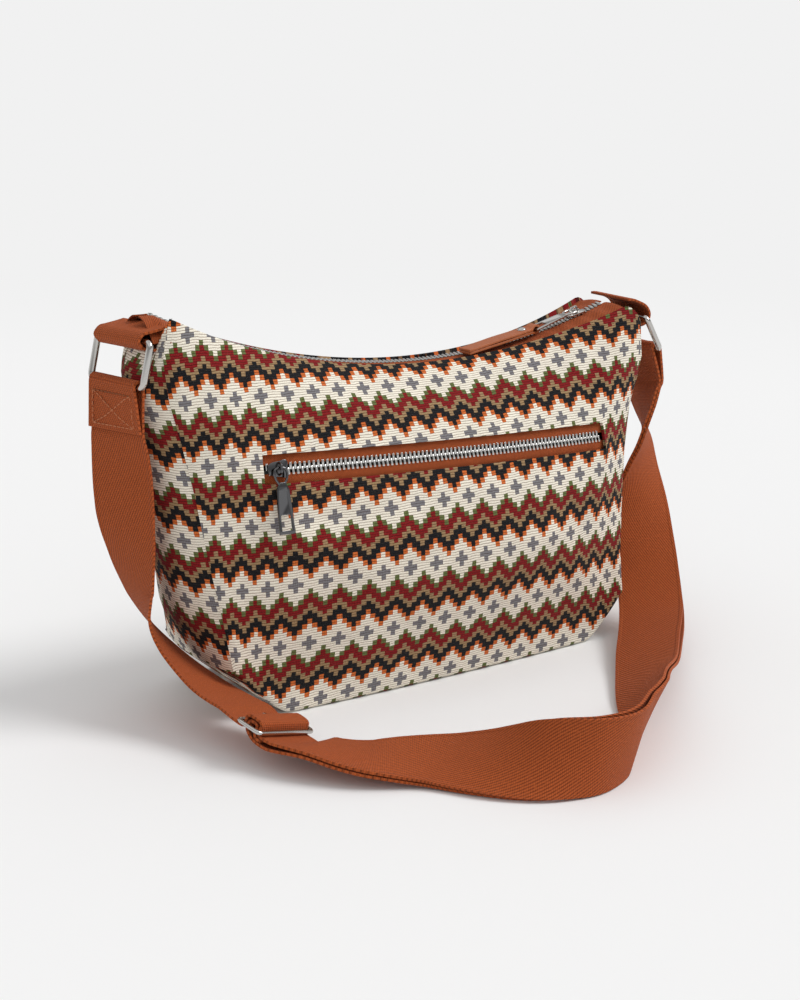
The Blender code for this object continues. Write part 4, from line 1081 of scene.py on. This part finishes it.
def strapPath():
    # Sewn on the left ring, over the adjuster, round the right ring and back to the adjuster
    s = strapSettings
    across, run, out = adjusterTurn()
    leftOut, leftDown = ringFrame("left")
    rightOut, rightDown = ringFrame("right")
    leftTop, leftAxis = ringSettings["left"][:2]
    rightTop, rightAxis = ringSettings["right"][:2]
    leftBar = leftTop + leftDown * ringSettings["height"]
    rightBar = rightTop + rightDown * ringSettings["height"]
    turnRadius = ringSettings["wire"] / 2 + 0.35 + s["thickness"] / 2
    up = Vector((0, 0, 1))

    def local(points):
        stations = []
        for k, (t, n) in enumerate(points):
            a, b = points[max(k - 1, 0)], points[min(k + 1, len(points) - 1)]
            along = (run * (b[0] - a[0]) + out * (b[1] - a[1])).normalized()
            stations.append((s["adjuster"] + run * t + out * n, across, along.cross(across), s["width"]))
        return stations

    left = framed(smoothRun(s["leftRun"]))
    flap = [left[k] for k in range(len(left)) if left[k][0].z > 150][::-1]
    path = list(flap)
    path += turnRound(leftBar, leftAxis, leftOut, up, turnRadius, 0, 180, 8)
    for c, w, n, width in left:
        behind = (s["thickness"] + 0.6) * max(0.0, min(1.0, (c.z - 105.0) / 25.0))
        path.append((c - n * behind * (1 if n.dot(leftOut) > 0 else -1), w, n, width))
    path += local([(-11.5, -2.5), (-6.4, -2.45), (-5.0, -1.3), (-4.85, 2.4), (-4.0, 3.7), (-2.0, 4.15),
                   (2.0, 4.15), (4.0, 3.7), (4.85, 2.4), (5.0, -1.3), (6.4, -2.45), (11.5, -2.45),
                   (17.0, -1.4)])
    right = framed(smoothRun(s["rightRun"]))
    joinAt = len(path) + next(k for k, station in enumerate(right) if station[0].x > -8)

    def halfGap(c):
        half = s["layerHalf"]
        for x, reach, most in s["partings"]:
            half += most * math.exp(-((c.x - x) / reach) ** 2)
        return half

    path += [(c - n * halfGap(c), w, n, width) for c, w, n, width in right]
    ringWay = -rightAxis if right[-1][1].dot(rightAxis) < 0 else rightAxis
    side = rightOut if right[-1][2].dot(rightOut) < 0 else -rightOut
    path += turnRound(rightBar, ringWay, side, up, turnRadius, 0, 180, 8)
    path += [(c + n * halfGap(c), w, n, width) for c, w, n, width in reversed(right)]
    path += local([(17.0, -4.6), (11.5, -5.9), (4.5, -5.9), (0.5, -4.6), (-2.4, -2.6), (-2.75, 0.0),
                   (-2.2, 1.7),
                   (0.0, 2.15), (2.2, 1.7), (2.75, 0.0), (2.75, -2.2), (4.4, -4.15), (7.6, -4.15)])
    fixed = []
    for k, (c, w, n, width) in enumerate(path):
        along = (path[min(k + 1, len(path) - 1)][0] - path[max(k - 1, 0)][0]).normalized()
        fixed.append((c, (w - along * w.dot(along)).normalized(), width))
    return fixed, joinAt, len(flap)


def fineBand(stations, steps=3):
    out = []
    count = len(stations)
    for k in range(count - 1):
        a, b, c, d = (stations[max(k - 1, 0)], stations[k], stations[k + 1], stations[min(k + 2, count - 1)])
        for t in range(steps):
            f = t / steps
            out.append((hermite(a[0], b[0], c[0], d[0], f), hermite(a[1], b[1], c[1], d[1], f).normalized(),
                        b[2] + (c[2] - b[2]) * f))
    out.append(stations[-1])
    return out


def strap():
    path, joinAt, flapCount = strapPath()
    fine = fineBand(path)
    cut = joinAt * 3
    halves = (("strapLeft", fine[:cut + 1], "left_ring", (-0.166, -0.002, 0.055), (-0.171, -0.001, 0.165)),
              ("strapRight", fine[cut:], "right_ring", (0.160, -0.012, 0.055), (0.170, -0.002, 0.150)))
    for name, stations, body, start, end in halves:
        piece = finishPiece(name, bandSheet(stations, 10), mats["webbing"], None, ["strap"],
                            wall=strapSettings["thickness"], offset=0.0, sharp=60)
        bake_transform(piece)
        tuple(start)
        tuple(end)
    # Box of stitches on the flap below the left ring
    name, stations, body, start, end = halves[0]
    flap = fine[:flapCount * 3 + 1]
    leftOut = ringFrame("left")[0]
    bm = bmesh.new()
    corners = [(0.12, -14.5), (0.12, 14.5), (0.8, 14.5), (0.8, -14.5), (0.12, -14.5), (0.8, 14.5),
               (0.8, -14.5), (0.12, 14.5)]

    def onFlap(t, a):
        k = min(int(t * (len(flap) - 1)), len(flap) - 2)
        f = t * (len(flap) - 1) - k
        run = (flap[k + 1][0] - flap[k][0]).normalized()
        out = run.cross(flap[k][1]).normalized()
        out = out if out.dot(leftOut) > 0 else -out
        return flap[k][0].lerp(flap[k + 1][0],
                               f) + flap[k][1] * a + out * (strapSettings["thickness"] / 2 + 0.12)

    for (t0, a0), (t1, a1) in zip(corners, corners[1:]):
        length = (onFlap(t1, a1) - onFlap(t0, a0)).length
        count = max(2, round(length / 3.0))
        for k in range(count):
            f0, f1 = (k + 0.12) / count, (k + 0.82) / count
            tube(bm, [onFlap(t0 + (t1 - t0) * f, a0 + (a1 - a0) * f) for f in (f0, f1)], 0.34, sides=1)
    piece = finishPiece("flapStitches", bm, mats["stitch"], None, sharp=80)
    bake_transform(piece)
    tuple(start)
    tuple(end)


def adjusterFrame():
    s = strapSettings
    across, run, out = adjusterTurn()
    half, tall, wire = s["adjusterLength"] / 2, s["adjusterHeight"] / 2, s["adjusterWire"] / 2
    bm = bmesh.new()
    corner = 2.6
    points = []
    for sa, sd, start in ((1, 1, 0), (-1, 1, 90), (-1, -1, 180), (1, -1, 270)):
        for k in range(6):
            a = math.radians(start + 18 * k)
            points.append(Vector((sd * (tall - wire - corner) + corner * math.sin(a),
                                  sa * (half - wire - corner) + corner * math.cos(a), 0)))
    tube(bm, points, wire, closed=True, sides=4)
    tube(bm, [Vector((0, -half + wire, 0)), Vector((0, half - wire, 0))], 0.95, sides=4)
    block(bm, -tall - 1.0, -tall + 2.4, -1.2, 1.2, wire - 0.2, wire + 1.0)
    block(bm, -tall + 0.1, -tall + 1.3, -2.6, 2.6, wire - 0.2, wire + 0.9)
    placed(bm, run, -across, across.cross(run), s["adjuster"])
    bmesh.ops.recalc_face_normals(bm, faces=bm.faces[:])
    finishPiece("adjusterFrame", bm, mats["nickel"], "bag", ["adjuster"], bevel=0.25, sharp=40)


wireRing("left", "left_ring", "left_ring")
wireRing("right", "right_ring", "right_ring")
tabBand("leftTabBand", ringSettings["left"][1],
        [(-152.0, 203.4), (-157.0, 202.4), (-162.0, 201.6), (-165.5, 200.9), (-168.1, 197.5), (-165.5, 193.9),
         (-162.0, 193.0), (-156.0, 192.4), (-151.0, 192.8)], "left_tab")
tabBand("rightTabBand", ringSettings["right"][1],
        [(144.5, 193.0), (148.5, 192.8), (153.0, 191.2), (158.6, 188.4), (161.6, 183.8), (160.4, 179.6),
         (156.0, 177.4), (150.5, 178.2), (146.0, 180.0)], "right_tab")
strap()
adjusterFrame()
print("rings, tabs, strap and adjuster in place")


# Floor, light and camera

stageSettings = {
    "floor": "F1F1F1", "reach": 40.0, "realFloor": 0.75, "farFloor": 1.7, "horizon": 0.42, "zenith": 0.82,
    "sun": 1.5, "sunWay": (0.62, -0.42, 0.82), "sunAngle": 28.0,
}


def floorMaterial():
    # Real shade and shadow near the bag, passing into the plain background colour far from it
    st = stageSettings
    mat = bpy.data.materials.new("paleFloor")
    mat.use_nodes = True
    tree = mat.node_tree
    shader = tree.nodes["Principled BSDF"]
    shader.inputs["Base Color"].default_value = hexColour(st["floor"])
    shader.inputs["Roughness"].default_value = 0.9
    shader.inputs["Specular IOR Level"].default_value = 0.1
    plain = addNode(tree, "ShaderNodeEmission")
    plain.inputs["Color"].default_value = hexColour(st["floor"])
    away = addNode(tree, "ShaderNodeVectorMath", operation="LENGTH")
    feed(tree, away.inputs[0], addNode(tree, "ShaderNodeTexCoord").outputs["Object"])
    fade = addNode(tree, "ShaderNodeMapRange", interpolation_type="SMOOTHSTEP")
    feed(tree, fade.inputs["Value"], away.outputs["Value"])
    fade.inputs["From Min"].default_value = st["realFloor"]
    fade.inputs["From Max"].default_value = st["farFloor"]
    both = addNode(tree, "ShaderNodeMixShader")
    feed(tree, both.inputs[0], fade.outputs["Result"])
    feed(tree, both.inputs[1], shader.outputs[0])
    feed(tree, both.inputs[2], plain.outputs[0])
    feed(tree, tree.nodes["Material Output"].inputs["Surface"], both.outputs[0])
    return mat


def floorSheet():
    bm = bmesh.new()
    bmesh.ops.create_circle(bm, cap_ends=True, segments=96, radius=stageSettings["reach"])
    bmesh.ops.recalc_face_normals(bm, faces=bm.faces[:])
    if bm.faces[:][0].normal.z < 0:
        bmesh.ops.reverse_faces(bm, faces=bm.faces[:])
    mesh = bpy.data.meshes.new("floorSheet")
    bm.to_mesh(mesh)
    bm.free()
    mesh.materials.append(floorMaterial())
    obj = bpy.data.objects.new("floorSheet", mesh)
    scene.collection.objects.link(obj)


def studioWorld():
    # The background colour straight on and in reflections near the horizon, soft light from above elsewhere
    st = stageSettings
    world = bpy.data.worlds.new("studio")
    world.use_nodes = True
    scene.world = world
    tree = world.node_tree
    split = addNode(tree, "ShaderNodeSeparateXYZ")
    feed(tree, split.inputs[0], addNode(tree, "ShaderNodeTexCoord").outputs["Generated"])
    soft = calc(tree, "MULTIPLY_ADD", calc(tree, "MAXIMUM", split.outputs["Z"], 0.0),
                st["zenith"] - st["horizon"], st["horizon"])
    seen = addNode(tree, "ShaderNodeValToRGB")
    ramp = seen.color_ramp
    for k, (position, level) in enumerate(((0.16, 0.88), (0.3, 0.3), (0.5, 0.42), (0.72, 1.0), (0.95, 0.75))):
        element = ramp.elements[k] if k < 2 else ramp.elements.new(position)
        element.position = position
        element.color = (level, level, level, 1.0)
    feed(tree, seen.inputs[0], split.outputs["Z"])
    light = addNode(tree, "ShaderNodeLightPath")
    mirrored = calc(tree, "MAXIMUM", light.outputs["Is Glossy Ray"], light.outputs["Is Transmission Ray"])
    colour = blendColours(tree, mirrored, (1.0, 1.0, 1.0, 1.0), seen.outputs[0])
    colour = blendColours(tree, light.outputs["Is Camera Ray"], colour, hexColour(st["floor"]))
    direct = calc(tree, "MAXIMUM", light.outputs["Is Camera Ray"], mirrored)
    strength = calc(tree, "ADD", calc(tree, "MULTIPLY", soft, calc(tree, "SUBTRACT", 1.0, direct)), direct)
    background = tree.nodes["Background"]
    feed(tree, background.inputs["Color"], colour)
    feed(tree, background.inputs["Strength"], strength)


def setStage():
    st = stageSettings
    floorSheet()
    studioWorld()
    data = bpy.data.lights.new("softSun", "SUN")
    data.energy = st["sun"]
    data.angle = math.radians(st["sunAngle"])
    lamp = bpy.data.objects.new("softSun", data)
    scene.collection.objects.link(lamp)
    lamp.rotation_euler = Vector(st["sunWay"]).to_track_quat("Z", "Y").to_euler()
    scene.view_settings.view_transform = "Standard"


def setCamera():
    c = cameraSettings
    a, e = math.radians(c["azimuth"]), math.radians(c["elevation"])
    back = Vector((math.sin(a) * math.cos(e), -math.cos(a) * math.cos(e), math.sin(e)))
    data = bpy.data.cameras.new("photoCamera")
    data.lens = c["lens"]
    data.sensor_width = 36.0
    data.clip_start = 0.01
    camera = bpy.data.objects.new("photoCamera", data)
    scene.collection.objects.link(camera)
    camera.location = (Vector(c["target"]) + back * c["distance"]) * 0.001
    camera.rotation_euler = (-back).to_track_quat("-Z", "Y").to_euler()
    scene.camera = camera


setStage()
setCamera()
print("scene complete")
